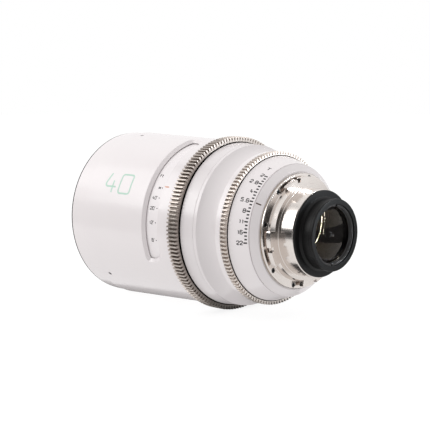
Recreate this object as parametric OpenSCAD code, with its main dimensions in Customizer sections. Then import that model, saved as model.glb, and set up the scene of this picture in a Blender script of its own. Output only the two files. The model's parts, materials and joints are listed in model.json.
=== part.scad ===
// Anamorphic cinema prime lens with a four-tab bayonet mount.
// The optical axis is X: the front of the lens looks to -X, the camera is at +X, +Z is up.
// The origin is on the axis in the seat plane of the mount, the rear face of the bayonet tabs.
// An angle is counted from the top (+Z) towards -Y, which is a positive turn about +X.

/* [Bands along the barrel] */
// Length of the mount from the seat plane forward to the rear housing
mount_base_len = 7; // [6.5:0.1:9]
// Length of the fixed rear housing
rear_housing_len = 3.44; // [3:0.02:6]
// Length of the aperture scale cone
iris_scale_len = 13.56; // [12:0.02:18]
// Width of the aperture gear
iris_gear_w = 4.2; // [3.5:0.1:6]
// Width of the plain band in front of the aperture gear
iris_band_w = 4.2; // [3.5:0.1:6]
// Length of the coved housing between the two rings
cove_len = 15.05; // [14:0.05:20]
// Length of the straight rim at the front of the coved housing
cove_rim_len = 2.65; // [1.5:0.05:3]
// Length of the fixed band behind the focus gear
centre_band_len = 10.45; // [9:0.05:15]
// Width of the focus gear
focus_gear_w = 7.9; // [6:0.1:10]
// Length of the tapered main barrel
barrel_len = 81.5; // [79:0.5:95]
// Length of the front ring
front_ring_len = 13.25; // [12:0.25:18]

/* [Radial build] */
// Bore of the main tube that the lens cells slide into
tube_bore_d = 86; // [82:0.5:90]
// Wall of the main tube
tube_wall = 3; // [2.4:0.1:4]
// Wall of the turning focus sleeve
sleeve_wall = 3; // [2.4:0.1:4]
// Wall of the focus scale drum
drum_wall = 2.7; // [2:0.1:4]
// Wall of the main barrel at its rear edge
barrel_wall = 1.7; // [1.4:0.1:3]
// Growth in radius of the main barrel from its rear edge to its front edge
barrel_flare = 2.7; // [1:0.1:4]
// Step in radius from the main barrel down to the front ring
front_step = 0.48; // [0.2:0.02:1]
// Bore of the filter ring
filter_d = 95; // [90:1:96]
// Step in radius from the barrel's rear edge down to the fixed band
band_step = 1.2; // [0.6:0.1:1.6]
// Taper in radius of the fixed band
band_taper = 0.9; // [0.2:0.1:1.2]
// Drop in radius of the cove behind its rim
cove_drop = 5.7; // [4.5:0.1:6.5]
// Radius of the cove's hollow curve
cove_curve_r = 22; // [16:1:40]
// Bore that holds the aperture cartridge
iris_bore_d = 69; // [69:0.5:73]
// Wall of the aperture housing under the aperture ring
iris_wall = 3.5; // [3:0.1:4]
// Thickness of the aperture ring's hub
iris_hub_wall = 5.9; // [5:0.1:7]
// Height of the aperture gear above the hub
iris_gear_rim = 4.45; // [3.5:0.05:6]
// Taper in radius of the aperture scale cone
iris_scale_taper = 4.3; // [2:0.1:5]
// Taper in radius of the rear housing
rear_housing_taper = 4.5; // [3:0.1:5]

/* [Focus scale window] */
// Distance from the barrel's rear edge to the window's rear edge
window_setback = 10.3; // [5:0.1:14]
// Width of the window at the drum
window_w = 12.2; // [8:0.1:14]
// Angle at which the window starts
window_from = 12; // [5:1:40]
// Angle at which the window ends
window_to = 113; // [90:1:140]
// Radius of the window's rounded rear corners
window_corner_r = 11; // [5:0.5:12]
// Length of the scale drum
drum_len = 25.4; // [24:0.1:30]

/* [Gears] */
// Module of both gear rings
gear_module = 0.8; // [0.4:0.1:1]
// Height of the focus gear's teeth above the barrel's rear edge
focus_gear_proud = 2.6; // [1.5:0.1:4]

/* [Focus drive] */
// Turn of the focus ring from infinity to the nearest distance
focus_throw = 180; // [120:5:200]
// Forward travel of the focus group over that turn
focus_travel = 12; // [8:0.5:13]
// Radius of each cam follower
follower_r = 1.6; // [1.2:0.1:2]
// Length of the focus sleeve
sleeve_len = 45.8; // [43:0.1:48]
// Length of the focus cell
focus_cell_len = 24; // [22:0.5:26]

/* [Aperture drive] */
// Turn of the aperture ring from the marked rest setting to fully open
iris_open_turn = 26.1; // [20:0.1:30]
// Turn of the aperture ring from the marked rest setting to fully closed
iris_close_turn = 34.8; // [25:0.1:40]
// Turn of each blade from fully open to fully closed
blade_swing = 29; // [22:0.5:32]
// Thickness of each blade
blade_t = 0.25; // [0.2:0.01:0.3]
// Radius of the fully open aperture
aperture_r = 15; // [12:0.5:16]
// Radius of the circle of blade pivots
pivot_circle_r = 28; // [27:0.1:29]
// Radius of the blades' pivot pins and drive pins
blade_pin_r = 0.7; // [0.5:0.05:0.8]

/* [Camera mount] */
// Diameter of the mount's barrel
mount_d = 54; // [52:0.5:56]
// Length of the mount's barrel behind the seat plane
mount_barrel_len = 11.3; // [9:0.1:14]
// Wall of the mount's barrel
mount_wall = 3; // [2.5:0.1:4]
// Diameter over the bayonet tabs
tab_d = 68; // [67:0.5:70]
// Thickness of the bayonet tabs
tab_t = 3.4; // [2.8:0.1:3.6]
// Angle covered by each tab
tab_angle = 39; // [30:1:44]
// Angle of the first tab's centre
tab_from = 14; // [0:1:45]
// Diameter of the mount's base ring
mount_base_d = 71.4; // [70:0.2:74]
// Thickness of the mount's base ring
mount_base_t = 2; // [1.6:0.1:2.4]
// Thickness of the shim under the mount
shim_t = 0.2; // [0.05:0.05:0.3]
// Distance from the seat plane to the rear end
rear_reach = 21.94; // [20:0.1:26]
// Diameter of the rear lens cell's end
rear_cell_d = 44; // [42:0.5:46]

/* [Fits] */
// Gap between pieces that are fitted together
fit_gap = 0.03; // [0.02:0.01:0.05]
// Radial gap of a running fit
run_fit = 0.05; // [0.03:0.01:0.08]
// Radial gap between a turning ring and a cover
turn_gap = 0.3; // [0.25:0.05:0.5]
// Width of the seams beside the turning rings
seam_gap = 0.3; // [0.2:0.05:0.5]
// Width of the dark gaps beside the focus gear
gear_gap = 0.5; // [0.3:0.05:0.8]
// Axial play of the focus sleeve
axial_gap = 0.1; // [0.05:0.05:0.2]

/* [Hidden] */
$fn = 144;

// Places along the axis, from the mount forward
x_house = -mount_base_len;
x_rear_seam = x_house - rear_housing_len;
x_iris_gear_rear = x_rear_seam - iris_scale_len;
x_iris_gear_front = x_iris_gear_rear - iris_gear_w;
x_iris_front = x_iris_gear_front - iris_band_w;
x_cove_rear = x_iris_front - seam_gap;
x_front_seam = x_cove_rear - cove_len;
x_band_front = x_front_seam - centre_band_len;
x_focus_gear_rear = x_band_front - gear_gap;
x_focus_gear_front = x_focus_gear_rear - focus_gear_w;
x_barrel_rear = x_focus_gear_front - gear_gap;
x_barrel_front = x_barrel_rear - barrel_len;
x_front = x_barrel_front - front_ring_len;

// Radii from the axis outward
tube_bore_r = tube_bore_d / 2;
tube_r = tube_bore_r + tube_wall;
sleeve_r = tube_r + run_fit + sleeve_wall;
drum_r = sleeve_r + fit_gap + drum_wall;
barrel_bore_r = drum_r + turn_gap;
barrel_rear_r = barrel_bore_r + barrel_wall;
filter_wall = 3;
front_bore_r = filter_d / 2 + filter_wall;
front_wall = 3;
spigot_wall = 1.2;
spigot_r = front_bore_r + spigot_wall;
barrel_front_r = max(barrel_rear_r + barrel_flare, front_bore_r + front_wall + front_step);
barrel_front_wall = barrel_front_r - barrel_bore_r;
front_ring_r = barrel_front_r - front_step;
cell_r = tube_bore_r - fit_gap;
flange_r = sleeve_r;
band_front_r = barrel_rear_r - band_step;
band_rear_r = band_front_r - band_taper;
cove_rear_r = band_rear_r - cove_drop;
iris_bore_r = iris_bore_d / 2;
journal_r = iris_bore_r + iris_wall;
iris_hub_r = journal_r + run_fit + iris_hub_wall;
iris_gear_teeth = round(2 * (iris_hub_r + iris_gear_rim) / gear_module) - 2;
iris_tip_r = (iris_gear_teeth + 2) * gear_module / 2;
tooth_depth = 2.25 * gear_module;
scale_step = 1;
scale_front_r = iris_tip_r - tooth_depth - scale_step;
scale_rear_r = scale_front_r - iris_scale_taper;
focus_gear_teeth = round(2 * (barrel_rear_r + focus_gear_proud) / gear_module) - 2;
focus_tip_r = (focus_gear_teeth + 2) * gear_module / 2;

// Pieces of the tube assembly
edge = 0.4;
land_len = 10;
tube_recess = 1.9;
x_tube_front = x_barrel_front + tube_recess;
x_sleeve_rear = x_band_front - axial_gap;
x_sleeve_front = x_sleeve_rear - sleeve_len;
x_land_rear = x_sleeve_front - axial_gap;
spigot_len = 6.2;
x_tube_rear = x_band_front + spigot_len;
rear_land_len = 6;
screw_angles = [132, 252, 12];
set_screw_r = 1.3;
set_screw_setback = 8;
x_set_screw = x_tube_front + set_screw_setback;
ring_screw_setback = 2.4;
screw_sink = 0.5;

// Front optics
glass_rim = 3.2;
glass_hold = 2;
filter_depth = 4;
x_filter_rear = x_front + filter_depth;
retainer_w = 3.5;
front_glass_setback = 4.85;
x_front_glass = x_filter_rear + front_glass_setback;
front_glass_t = 6;
front_glass_wall = filter_wall + 1;
front_glass_r = front_bore_r - front_glass_wall;
front_glass_curve = 260;
front_glass_hollow = 180;
front_land = 3.5;
x_second_glass = x_front_glass + front_glass_t + front_land;
second_glass_t = 7.5;
second_cell_wall = 3.5;
second_glass_r = tube_bore_r - second_cell_wall;
second_glass_hollow = 250;
second_retainer_w = 3;
front_cell_tail = 5;
x_front_cell_rear = x_second_glass + second_glass_t + second_retainer_w + front_cell_tail;

// Anamorphic pair, which stands between the front cell and the focus group
cell_gap = 0.1;
x_cylinder_front = x_front_cell_rear + cell_gap;
cylinder_retainer_w = 1.8;
cylinder_glass_t = 6.5;
cylinder_land = 6;
cylinder_curve = 200;
cylinder_hollow = 3;
cylinder_cell_wall = 5;
cylinder_glass_r = tube_bore_r - cylinder_cell_wall;
x_cylinder_land = x_cylinder_front + cylinder_retainer_w + cylinder_glass_t;
x_cylinder_rear = x_cylinder_land + cylinder_land + cylinder_glass_t + cylinder_retainer_w;

// Focus group at infinity, which is its rearmost place
focus_rear_gap = 6;
x_focus_cell_rear = x_band_front - focus_rear_gap;
x_focus_cell_front = x_focus_cell_rear - focus_cell_len;
focus_land = 4;
focus_retainer_w = 2.2;
focus_glass_t = (focus_cell_len - focus_land) / 2 - focus_retainer_w;
focus_cell_wall = 7;
focus_glass_r = tube_bore_r - focus_cell_wall;
focus_front_curve = 150;
focus_rear_curve = 220;
focus_hollow = 300;
x_follower = x_focus_cell_rear - focus_cell_len / 2;
follower_angles = [30, 150, 270];
follower_slack = 0.1;
follower_seat = 2.5;
follower_shy = 0.5;

// Aperture housing and its cartridge
cove_shoulder = 1.25;
x_cove_seat = x_front_seam + cove_shoulder;
cove_wall = 2.5;
cove_bore_r = cove_rear_r - cove_wall;
cove_lip_len = 3.3;
x_cove_lip = x_cove_rear - cove_lip_len;
cove_lip_gap = 1;
cove_lip_r = journal_r + cove_lip_gap;
cartridge_setback = 6.75;
x_cartridge_front = x_front_seam + cartridge_setback;
relay_wall = 3.5;
relay_bore_r = cove_bore_r - relay_wall;
relay_cell_wall = 7;
relay_glass_r = relay_bore_r - relay_cell_wall;
relay_glass_t = 3.5;
relay_front_curve = 160;
relay_rear_curve = 200;
relay_hollow = 400;
relay_spacer_w = 1;
relay_retainer_w = 1;
relay_land = 2;
relay_cell_len = 11;
x_relay_front = x_cartridge_front - relay_cell_len;
x_relay_land = x_cartridge_front - relay_land;
actuator_t = 2.4;
actuator_setback = 1.4;
x_actuator_front = x_iris_front + actuator_setback;
x_drive_pin = x_actuator_front + actuator_t / 2;
cover_t = 2.5;
cover_gap = 0.2;
cover_shy = 0.5;
x_cover_front = x_actuator_front - cover_gap - cover_t;
blade_count = 9;
blade_gap = 0.1;
blade_pitch = blade_t + blade_gap;
x_blades = x_actuator_front + actuator_t + blade_gap;
x_base_plate = x_blades + blade_count * blade_pitch + blade_gap;
base_plate_t = 2;
x_cartridge_rear = x_base_plate + base_plate_t;
drive_pin_r = 1;
drive_pin_angles = [60, 180, 300];
actuator_web = 1.6;
actuator_r_in = pivot_circle_r - actuator_web;
drive_pin_hold = 1.5;
slot_play = 0.1;
blade_ratio = blade_swing / (iris_open_turn + iris_close_turn);
blade_rest_swing = blade_ratio * iris_open_turn;
lever_angle = 18;
lever_step = 0.2;
lever_r = pivot_circle_r + lever_step;

// Mount and rear optics
x_mount_front = x_house + shim_t;
mount_bore_r = mount_d / 2 - mount_wall;
mount_screw_r = 1;
mount_screw_head_r = 1.5;
mount_screw_head_h = 1.3;
mount_rim = 0.75;
passage_wall = 1.2;
mount_screw_circle_r = min(mount_base_d / 2 - mount_screw_head_r - mount_rim,
    journal_r - mount_screw_r - passage_wall);
mount_neck_gap = 1.75;
mount_neck_r = mount_screw_circle_r - mount_screw_head_r - mount_neck_gap;
cartridge_land = 3.5;
rear_passage_r =
    min(iris_bore_r - cartridge_land, mount_screw_circle_r - mount_screw_r - passage_wall);
mount_screw_spread = 19;
tab_count = 4;
tab_pitch = 360 / tab_count;
mount_screw_depth = 4;
rear_collar_step = 0.4;
rear_collar_r = mount_d / 2 - rear_collar_step;
rear_collar_t = 1.4;
rear_cell_tail = 8;
x_rear_cell_front = x_rear_seam - rear_cell_tail;
rear_rim_proud = 0.4;
rear_rim_len = 2;
rear_fillet = 1.2;
rear_tube_r = rear_cell_d / 2 - rear_rim_proud;
rear_cell_wall = 4;
rear_group_r = mount_bore_r - rear_cell_wall;
rear_group_t = 5;
rear_spacer_w = 3;
rear_group_front_curve = 70;
rear_group_curve = 150;
rear_group_hollow = 90;
rear_end_wall = 3.4;
rear_glass_r = rear_cell_d / 2 - rear_end_wall;
rear_land_setback = 6;
x_rear_land = x_house + rear_land_setback;
x_rear_spacer = x_rear_land - rear_group_t - rear_spacer_w;
rear_glass_t = 5;
rear_recess = 0.9;
rear_retainer_t = 2.54;
rear_land = rear_reach - rear_recess - rear_retainer_t - rear_glass_t - x_rear_land;
rear_land_hold = 3;
x_rear_glass = x_rear_land + rear_land;
rear_glass_curve = 60;
rear_glass_hollow = 120;
x_rear_retainer = x_rear_glass + rear_glass_t;

function sag(curve, r) = curve - sqrt(curve * curve - r * r);
function barrel_r_at(x) =
    barrel_rear_r + (barrel_front_r - barrel_rear_r) * (x_barrel_rear - x) / barrel_len;
function polar(r, angle) = [r * cos(angle), r * sin(angle)];
function turn_about(p, centre, angle) =
    let (d = p - centre)
    centre + [d.x * cos(angle) - d.y * sin(angle), d.x * sin(angle) + d.y * cos(angle)];

// Drive pin of a blade whose pivot is at angle 0, after a swing from fully open
function drive_pin(swing) =
    turn_about(polar(lever_r, -lever_angle), [pivot_circle_r, 0], swing);

// Same pin seen from the aperture actuator, which has turned by the given angle from rest
function slot_point(turn) =
    let (p = drive_pin(blade_rest_swing - blade_ratio * turn))
    polar(norm(p), atan2(p.y, p.x) - turn);

// Two screws in each gap between the bayonet tabs
function mount_screw_angles() =
    [for (k = [0 : tab_count - 1], side = [-1, 1])
        tab_from + tab_pitch * (k + 0.5) + side * mount_screw_spread];

// Solid of revolution about the lens axis from an outline of [radius, x] points
module turned(outline) {
    rotate([0, 90, 0]) rotate_extrude() polygon(outline);
}

module ring(x0, x1, r_in, r_out) {
    turned([[r_in, x0], [r_out, x0], [r_out, x1], [r_in, x1]]);
}

module rod(x0, x1, r) {
    translate([x0, 0, 0]) rotate([0, 90, 0]) cylinder(r = r, h = x1 - x0);
}

// Part of a ring between two angles
module ring_sector(x0, x1, r_in, r_out, from, to) {
    rotate([from + 180, 0, 0]) rotate([0, 90, 0])
        rotate_extrude(angle = to - from)
            polygon([[r_in, x0], [r_out, x0], [r_out, x1], [r_in, x1]]);
}

// Children stand on the axis and point away from it at the given angle
module radial(angle, x, r) {
    rotate([angle, 0, 0]) translate([x, 0, r]) children();
}

// Flat plate across the axis, drawn in the (y, z) plane
module plate(x, t) {
    translate([x, 0, 0]) rotate([90, 0, 90]) linear_extrude(height = t) children();
}

// Lens element with a flat rim: a positive curve bulges outwards, a negative one is hollow
module glass(r, x0, x1, front_curve, rear_curve) {
    $fn = 320;
    dome_r = r - glass_rim;
    front_sag = sag(abs(front_curve), dome_r);
    rear_sag = sag(abs(rear_curve), dome_r);
    lo = front_curve > 0 ? x0 - front_sag - 1 : x0;
    hi = rear_curve > 0 ? x1 + rear_sag + 1 : x1;
    rotate([0, 90, 0]) difference() {
        translate([0, 0, lo]) cylinder(r = r, h = hi - lo);
        if (front_curve > 0) difference() {
            translate([0, 0, lo - 1]) cylinder(r = r + 1, h = x0 - lo + 1);
            translate([0, 0, x0 + front_curve - front_sag]) sphere(front_curve);
        }
        if (rear_curve > 0) difference() {
            translate([0, 0, x1]) cylinder(r = r + 1, h = hi - x1 + 1);
            translate([0, 0, x1 - rear_curve + rear_sag]) sphere(rear_curve);
        }
        if (front_curve < 0)
            translate([0, 0, x0 + front_curve + front_sag]) sphere(-front_curve);
        if (rear_curve < 0)
            translate([0, 0, x1 - rear_curve - rear_sag]) sphere(-rear_curve);
    }
}

// Cylindrical lens: one face flat, the other curved about an upright axis
module cylinder_glass(r, x0, x1, x_axis, curve) {
    difference() {
        rod(x0, x1, r);
        translate([x_axis, 0, -r - 1]) cylinder(r = curve, h = 2 * r + 2);
    }
}

// Ring gear with straight-sided teeth
module gear_ring(x, w, teeth, bore_r) {
    step = 360 / teeth;
    tip_r = (teeth + 2) * gear_module / 2;
    root_r = tip_r - tooth_depth;
    tooth = [[root_r, -0.36], [tip_r, -0.16], [tip_r, 0.16], [root_r, 0.36]];
    plate(x, w) difference() {
        polygon([for (i = [0 : teeth - 1], p = tooth) polar(p[0], (i + p[1]) * step)]);
        circle(r = bore_r);
    }
}

module socket_screw(head_r, head_h, shank_r, length) {
    difference() {
        union() {
            cylinder(r = shank_r, h = length - head_h);
            translate([0, 0, length - head_h]) cylinder(r = head_r, h = head_h);
        }
        translate([0, 0, length - 0.6 * head_h]) cylinder(r = 0.55 * head_r, h = head_h, $fn = 6);
    }
}

// Opening over the focus scale: bevelled front edge and ends, rounded rear corners
module window_cutter() {
    x_rear = x_barrel_rear - window_setback;
    x_floor = x_rear - window_w;
    depth = barrel_front_wall + 2;
    corner_turn = window_corner_r / drum_r * 180 / PI;
    intersection() {
        rotate([window_from - 20 + 180, 0, 0]) rotate([0, 90, 0])
            rotate_extrude(angle = window_to - window_from + 40)
                polygon([
                    [barrel_bore_r - 1, x_floor + 1], [barrel_bore_r - 1, x_rear],
                    [barrel_bore_r + depth, x_rear], [barrel_bore_r + depth, x_floor - depth]
                ]);
        union() {
            ring_sector(x_floor - depth, x_rear + 1, barrel_bore_r - 2, barrel_bore_r + depth + 1,
                window_from + corner_turn, window_to - corner_turn);
            for (angle = [window_from + corner_turn, window_to - corner_turn])
                radial(angle, x_rear - window_corner_r + 1, barrel_bore_r - 2)
                    cylinder(r1 = window_corner_r - 2, r2 = window_corner_r + depth + 1, h = depth + 3);
        }
    }
}

module front_barrel() {
    color("whitesmoke") difference() {
        turned([
            [barrel_bore_r, x_barrel_rear], [barrel_rear_r - edge, x_barrel_rear],
            [barrel_rear_r, x_barrel_rear - edge], [barrel_front_r, x_barrel_front + edge],
            [barrel_front_r - edge, x_barrel_front], [spigot_r + fit_gap, x_barrel_front],
            [spigot_r + fit_gap, x_tube_front], [barrel_bore_r, x_tube_front]
        ]);
        window_cutter();
        for (angle = screw_angles)
            radial(angle, x_set_screw, barrel_bore_r - 1)
                cylinder(r = set_screw_r + fit_gap, h = barrel_front_wall + 2);
    }
}

module front_ring() {
    color("whitesmoke") turned([
        [front_bore_r, x_front + 2 * edge], [front_ring_r - edge, x_front + 2 * edge],
        [front_ring_r, x_front + 3 * edge], [front_ring_r, x_barrel_front],
        [spigot_r, x_barrel_front], [spigot_r, x_tube_front], [front_bore_r, x_tube_front]
    ]);
}

module filter_ring() {
    color("black") turned([
        [filter_d / 2, x_front], [front_ring_r - 3 * edge, x_front],
        [front_ring_r - edge, x_front + 2 * edge],
        [front_bore_r - fit_gap, x_front + 2 * edge], [front_bore_r - fit_gap, x_filter_rear],
        [filter_d / 2, x_filter_rear]
    ]);
}

module front_cell() {
    glass_seat_r = front_glass_r + fit_gap;
    land_r = second_glass_r - glass_hold;
    color("dimgray") turned([
        [glass_seat_r, x_filter_rear], [front_bore_r - fit_gap, x_filter_rear],
        [front_bore_r - fit_gap, x_tube_front], [cell_r, x_tube_front], [cell_r, x_front_cell_rear],
        [second_glass_r + fit_gap, x_front_cell_rear], [second_glass_r + fit_gap, x_second_glass],
        [land_r, x_second_glass], [land_r, x_front_glass + front_glass_t],
        [glass_seat_r, x_front_glass + front_glass_t]
    ]);
}

module front_retainer() {
    color("black") turned([
        [front_glass_r - glass_hold - 1, x_front_glass - retainer_w],
        [front_glass_r, x_front_glass - retainer_w],
        [front_glass_r, x_front_glass], [front_glass_r - glass_hold, x_front_glass]
    ]);
}

module front_element() {
    color("lightsteelblue") glass(front_glass_r, x_front_glass, x_front_glass + front_glass_t,
        front_glass_curve, -front_glass_hollow);
}

module second_element() {
    color("lightsteelblue")
        glass(second_glass_r, x_second_glass, x_second_glass + second_glass_t,
            -second_glass_hollow, -second_glass_hollow);
}

module second_retainer() {
    x0 = x_second_glass + second_glass_t;
    color("black") ring(x0, x0 + second_retainer_w, second_glass_r - glass_hold, second_glass_r);
}

module set_screws() {
    land_r = barrel_bore_r - fit_gap;
    length = barrel_r_at(x_set_screw) - edge - land_r;
    color("black") for (angle = screw_angles)
        radial(angle, x_set_screw, land_r) difference() {
            cylinder(r = set_screw_r, h = length);
            translate([0, 0, length - 0.8]) cylinder(r = 0.6 * set_screw_r, h = 1, $fn = 6);
        }
}

module cylinder_cell() {
    seat_r = cylinder_glass_r + fit_gap;
    land_r = cylinder_glass_r - glass_hold;
    color("dimgray") turned([
        [seat_r, x_cylinder_front], [cell_r, x_cylinder_front], [cell_r, x_cylinder_rear],
        [seat_r, x_cylinder_rear], [seat_r, x_cylinder_land + cylinder_land],
        [land_r, x_cylinder_land + cylinder_land], [land_r, x_cylinder_land],
        [seat_r, x_cylinder_land]
    ]);
}

module cylinder_element_front() {
    color("lightsteelblue") cylinder_glass(cylinder_glass_r, x_cylinder_land - cylinder_glass_t,
        x_cylinder_land,
        x_cylinder_land - cylinder_glass_t + cylinder_hollow - cylinder_curve, cylinder_curve);
}

module cylinder_element_rear() {
    x0 = x_cylinder_land + cylinder_land;
    color("lightsteelblue") cylinder_glass(cylinder_glass_r, x0, x0 + cylinder_glass_t,
        x0 + cylinder_hollow - cylinder_curve, cylinder_curve);
}

module cylinder_retainers() {
    color("black") for (x = [x_cylinder_front, x_cylinder_rear - cylinder_retainer_w])
        ring(x, x + cylinder_retainer_w, cylinder_glass_r - glass_hold, cylinder_glass_r);
}

// Straight slot through the main tube in which a cam follower slides
module guide_slot() {
    half_w = follower_r + run_fit;
    x0 = -focus_travel - follower_slack;
    for (x = [x0, follower_slack])
        translate([x, 0, 0]) cylinder(r = half_w, h = tube_wall + 2);
    translate([x0, -half_w, 0])
        cube([follower_slack - x0, 2 * half_w, tube_wall + 2]);
}

module main_tube() {
    land_r = barrel_bore_r - fit_gap;
    color("silver") difference() {
        turned([
            [tube_bore_r, x_tube_front], [land_r, x_tube_front], [land_r, x_tube_front + land_len],
            [tube_r, x_tube_front + land_len], [tube_r, x_land_rear - rear_land_len],
            [land_r, x_land_rear - rear_land_len], [land_r, x_land_rear], [tube_r, x_land_rear],
            [tube_r, x_tube_rear], [tube_bore_r, x_tube_rear]
        ]);
        for (angle = follower_angles)
            radial(angle, x_follower, tube_bore_r - 1) guide_slot();
        for (angle = screw_angles)
            radial(angle, x_band_front + spigot_len / 2, tube_bore_r - 1)
                cylinder(r = set_screw_r + fit_gap, h = tube_wall + 2);
    }
}

module joint_screws() {
    color("black") for (angle = screw_angles)
        radial(angle, x_band_front + spigot_len / 2, tube_bore_r + screw_sink)
            cylinder(r = set_screw_r, h = flange_r - tube_bore_r - 2 * screw_sink);
}

module centre_band() {
    color("whitesmoke") turned([
        [flange_r + fit_gap, x_band_front], [band_front_r - edge, x_band_front],
        [band_front_r, x_band_front + edge], [band_rear_r, x_front_seam - 0.2],
        [band_rear_r - 0.2, x_front_seam], [flange_r + fit_gap, x_front_seam]
    ]);
}

module cove_housing() {
    x_crease = x_front_seam + cove_rim_len;
    rim = [band_rear_r, x_crease];
    foot = [cove_rear_r, x_cove_rear];
    chord = foot - rim;
    rise = sqrt(pow(cove_curve_r, 2) - pow(norm(chord) / 2, 2));
    hollow = (rim + foot) / 2 + rise * [chord.y, -chord.x] / norm(chord);
    color("whitesmoke") difference() {
        turned([
            [flange_r + fit_gap, x_front_seam], [band_rear_r - 0.2, x_front_seam],
            [band_rear_r, x_front_seam + 0.2], rim, [band_rear_r, x_cove_rear],
            [cove_lip_r, x_cove_rear], [cove_lip_r, x_cove_lip],
            [cove_bore_r, x_cove_lip], [cove_bore_r, x_cove_seat],
            [flange_r + fit_gap, x_cove_seat]
        ]);
        rotate([0, 90, 0]) rotate_extrude() translate(hollow) circle(r = cove_curve_r);
    }
}

module iris_housing() {
    counterbore_r = tube_r + fit_gap;
    neck_r = cove_bore_r - fit_gap;
    pin_slot_r = drive_pin_r + slot_play;
    pin_slot_turn = pin_slot_r / iris_bore_r * 180 / PI + 0.5;
    color("dimgray") difference() {
        turned([
            [counterbore_r, x_band_front], [flange_r, x_band_front], [flange_r, x_cove_seat],
            [neck_r, x_cove_seat], [neck_r, x_cove_lip], [journal_r, x_cove_lip],
            [journal_r, x_rear_seam], [rear_passage_r, x_rear_seam],
            [rear_passage_r, x_cartridge_rear], [iris_bore_r, x_cartridge_rear],
            [iris_bore_r, x_cartridge_front], [relay_bore_r, x_cartridge_front],
            [relay_bore_r, x_tube_rear], [counterbore_r, x_tube_rear]
        ]);
        for (angle = drive_pin_angles)
            ring_sector(x_drive_pin - pin_slot_r, x_drive_pin + pin_slot_r,
                iris_bore_r - 1, journal_r + 1,
                angle - iris_close_turn - pin_slot_turn, angle + iris_open_turn + pin_slot_turn);
        for (angle = screw_angles)
            radial(angle, x_band_front + spigot_len / 2, tube_r - 1)
                cylinder(r = set_screw_r + fit_gap, h = sleeve_wall + 3);
        for (angle = mount_screw_angles())
            mount_screw_hole(angle, x_rear_seam - mount_screw_depth);
    }
}

// Hole along the axis for one of the mount's screws
module mount_screw_hole(angle, x) {
    radial(angle, x, mount_screw_circle_r) rotate([0, 90, 0])
        cylinder(r = mount_screw_r + fit_gap, h = x_mount_front + mount_base_t - x + 1);
}

module relay_cell() {
    seat_r = relay_glass_r + fit_gap;
    color("dimgray") turned([
        [seat_r, x_relay_front], [relay_bore_r - fit_gap, x_relay_front],
        [relay_bore_r - fit_gap, x_cartridge_front], [relay_glass_r - glass_hold, x_cartridge_front],
        [relay_glass_r - glass_hold, x_relay_land], [seat_r, x_relay_land]
    ]);
}

module relay_element_rear() {
    color("lightsteelblue") glass(relay_glass_r, x_relay_land - relay_glass_t, x_relay_land,
        -relay_hollow, relay_rear_curve);
}

module relay_spacer() {
    x1 = x_relay_land - relay_glass_t;
    color("black") ring(x1 - relay_spacer_w, x1, relay_glass_r - glass_hold, relay_glass_r);
}

module relay_element_front() {
    x1 = x_relay_land - relay_glass_t - relay_spacer_w;
    color("lightsteelblue") glass(relay_glass_r, x1 - relay_glass_t, x1,
        relay_front_curve, -relay_hollow);
}

module relay_retainer() {
    x1 = x_relay_land - 2 * relay_glass_t - relay_spacer_w;
    color("black") ring(x1 - relay_retainer_w, x1, relay_glass_r - glass_hold, relay_glass_r);
}

module iris_cover() {
    color("black") ring(x_cover_front, x_cover_front + cover_t,
        actuator_r_in + cover_shy, iris_bore_r - fit_gap);
}

module iris_base_plate() {
    color("black") difference() {
        ring(x_base_plate, x_cartridge_rear, aperture_r + 1, iris_bore_r - fit_gap);
        for (k = [1 : blade_count])
            rotate([360 / blade_count * k, 0, 0]) translate([0, pivot_circle_r, 0])
                rod(x_base_plate - 1, x_cartridge_rear + 1, blade_pin_r + run_fit);
    }
}

module rear_housing() {
    color("whitesmoke") difference() {
        turned([
            [rear_passage_r, x_rear_seam], [scale_rear_r - 0.4, x_rear_seam],
            [scale_rear_r - 0.2, x_rear_seam + 0.2],
            [scale_rear_r - rear_housing_taper, x_house], [rear_passage_r, x_house]
        ]);
        for (angle = mount_screw_angles())
            mount_screw_hole(angle, x_rear_seam - 1);
    }
}

module mount_shim() {
    color("goldenrod") difference() {
        ring(x_house, x_mount_front, rear_passage_r, mount_base_d / 2 - 0.4);
        for (angle = mount_screw_angles())
            mount_screw_hole(angle, x_house - 1);
    }
}

module lens_mount() {
    x_base_rear = x_mount_front + mount_base_t;
    notch_w = 3;
    notch_depth = 2.2;
    tab_angles = [for (k = [0 : tab_count - 1]) tab_from + tab_pitch * k];
    color("silver") difference() {
        union() {
            turned([
                [mount_bore_r + fit_gap, x_mount_front], [mount_base_d / 2, x_mount_front],
                [mount_base_d / 2, x_base_rear - edge], [mount_base_d / 2 - edge, x_base_rear],
                [mount_neck_r, x_base_rear], [mount_neck_r, 0], [mount_d / 2, 0],
                [mount_d / 2, mount_barrel_len - edge], [mount_d / 2 - edge, mount_barrel_len],
                [mount_bore_r + fit_gap, mount_barrel_len]
            ]);
            for (angle = tab_angles)
                ring_sector(-tab_t, 0, mount_neck_r - 1, tab_d / 2,
                    angle - tab_angle / 2, angle + tab_angle / 2);
        }
        for (angle = tab_angles)
            radial(angle, -tab_t - 0.5, tab_d / 2 - notch_depth)
                translate([0, -notch_w / 2, 0]) cube([tab_t + 1, notch_w, notch_depth + 1]);
        for (angle = mount_screw_angles()) {
            mount_screw_hole(angle, x_mount_front - 1);
            radial(angle, x_base_rear - mount_screw_head_h, mount_screw_circle_r) rotate([0, 90, 0])
                cylinder(r = mount_screw_head_r + fit_gap, h = mount_screw_head_h + 1);
        }
    }
}

module mount_screws() {
    x0 = x_rear_seam - mount_screw_depth + 0.5;
    color("black") for (angle = mount_screw_angles())
        radial(angle, x0, mount_screw_circle_r) rotate([0, 90, 0])
            socket_screw(mount_screw_head_r, mount_screw_head_h, mount_screw_r,
                x_mount_front + mount_base_t - x0);
}

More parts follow.
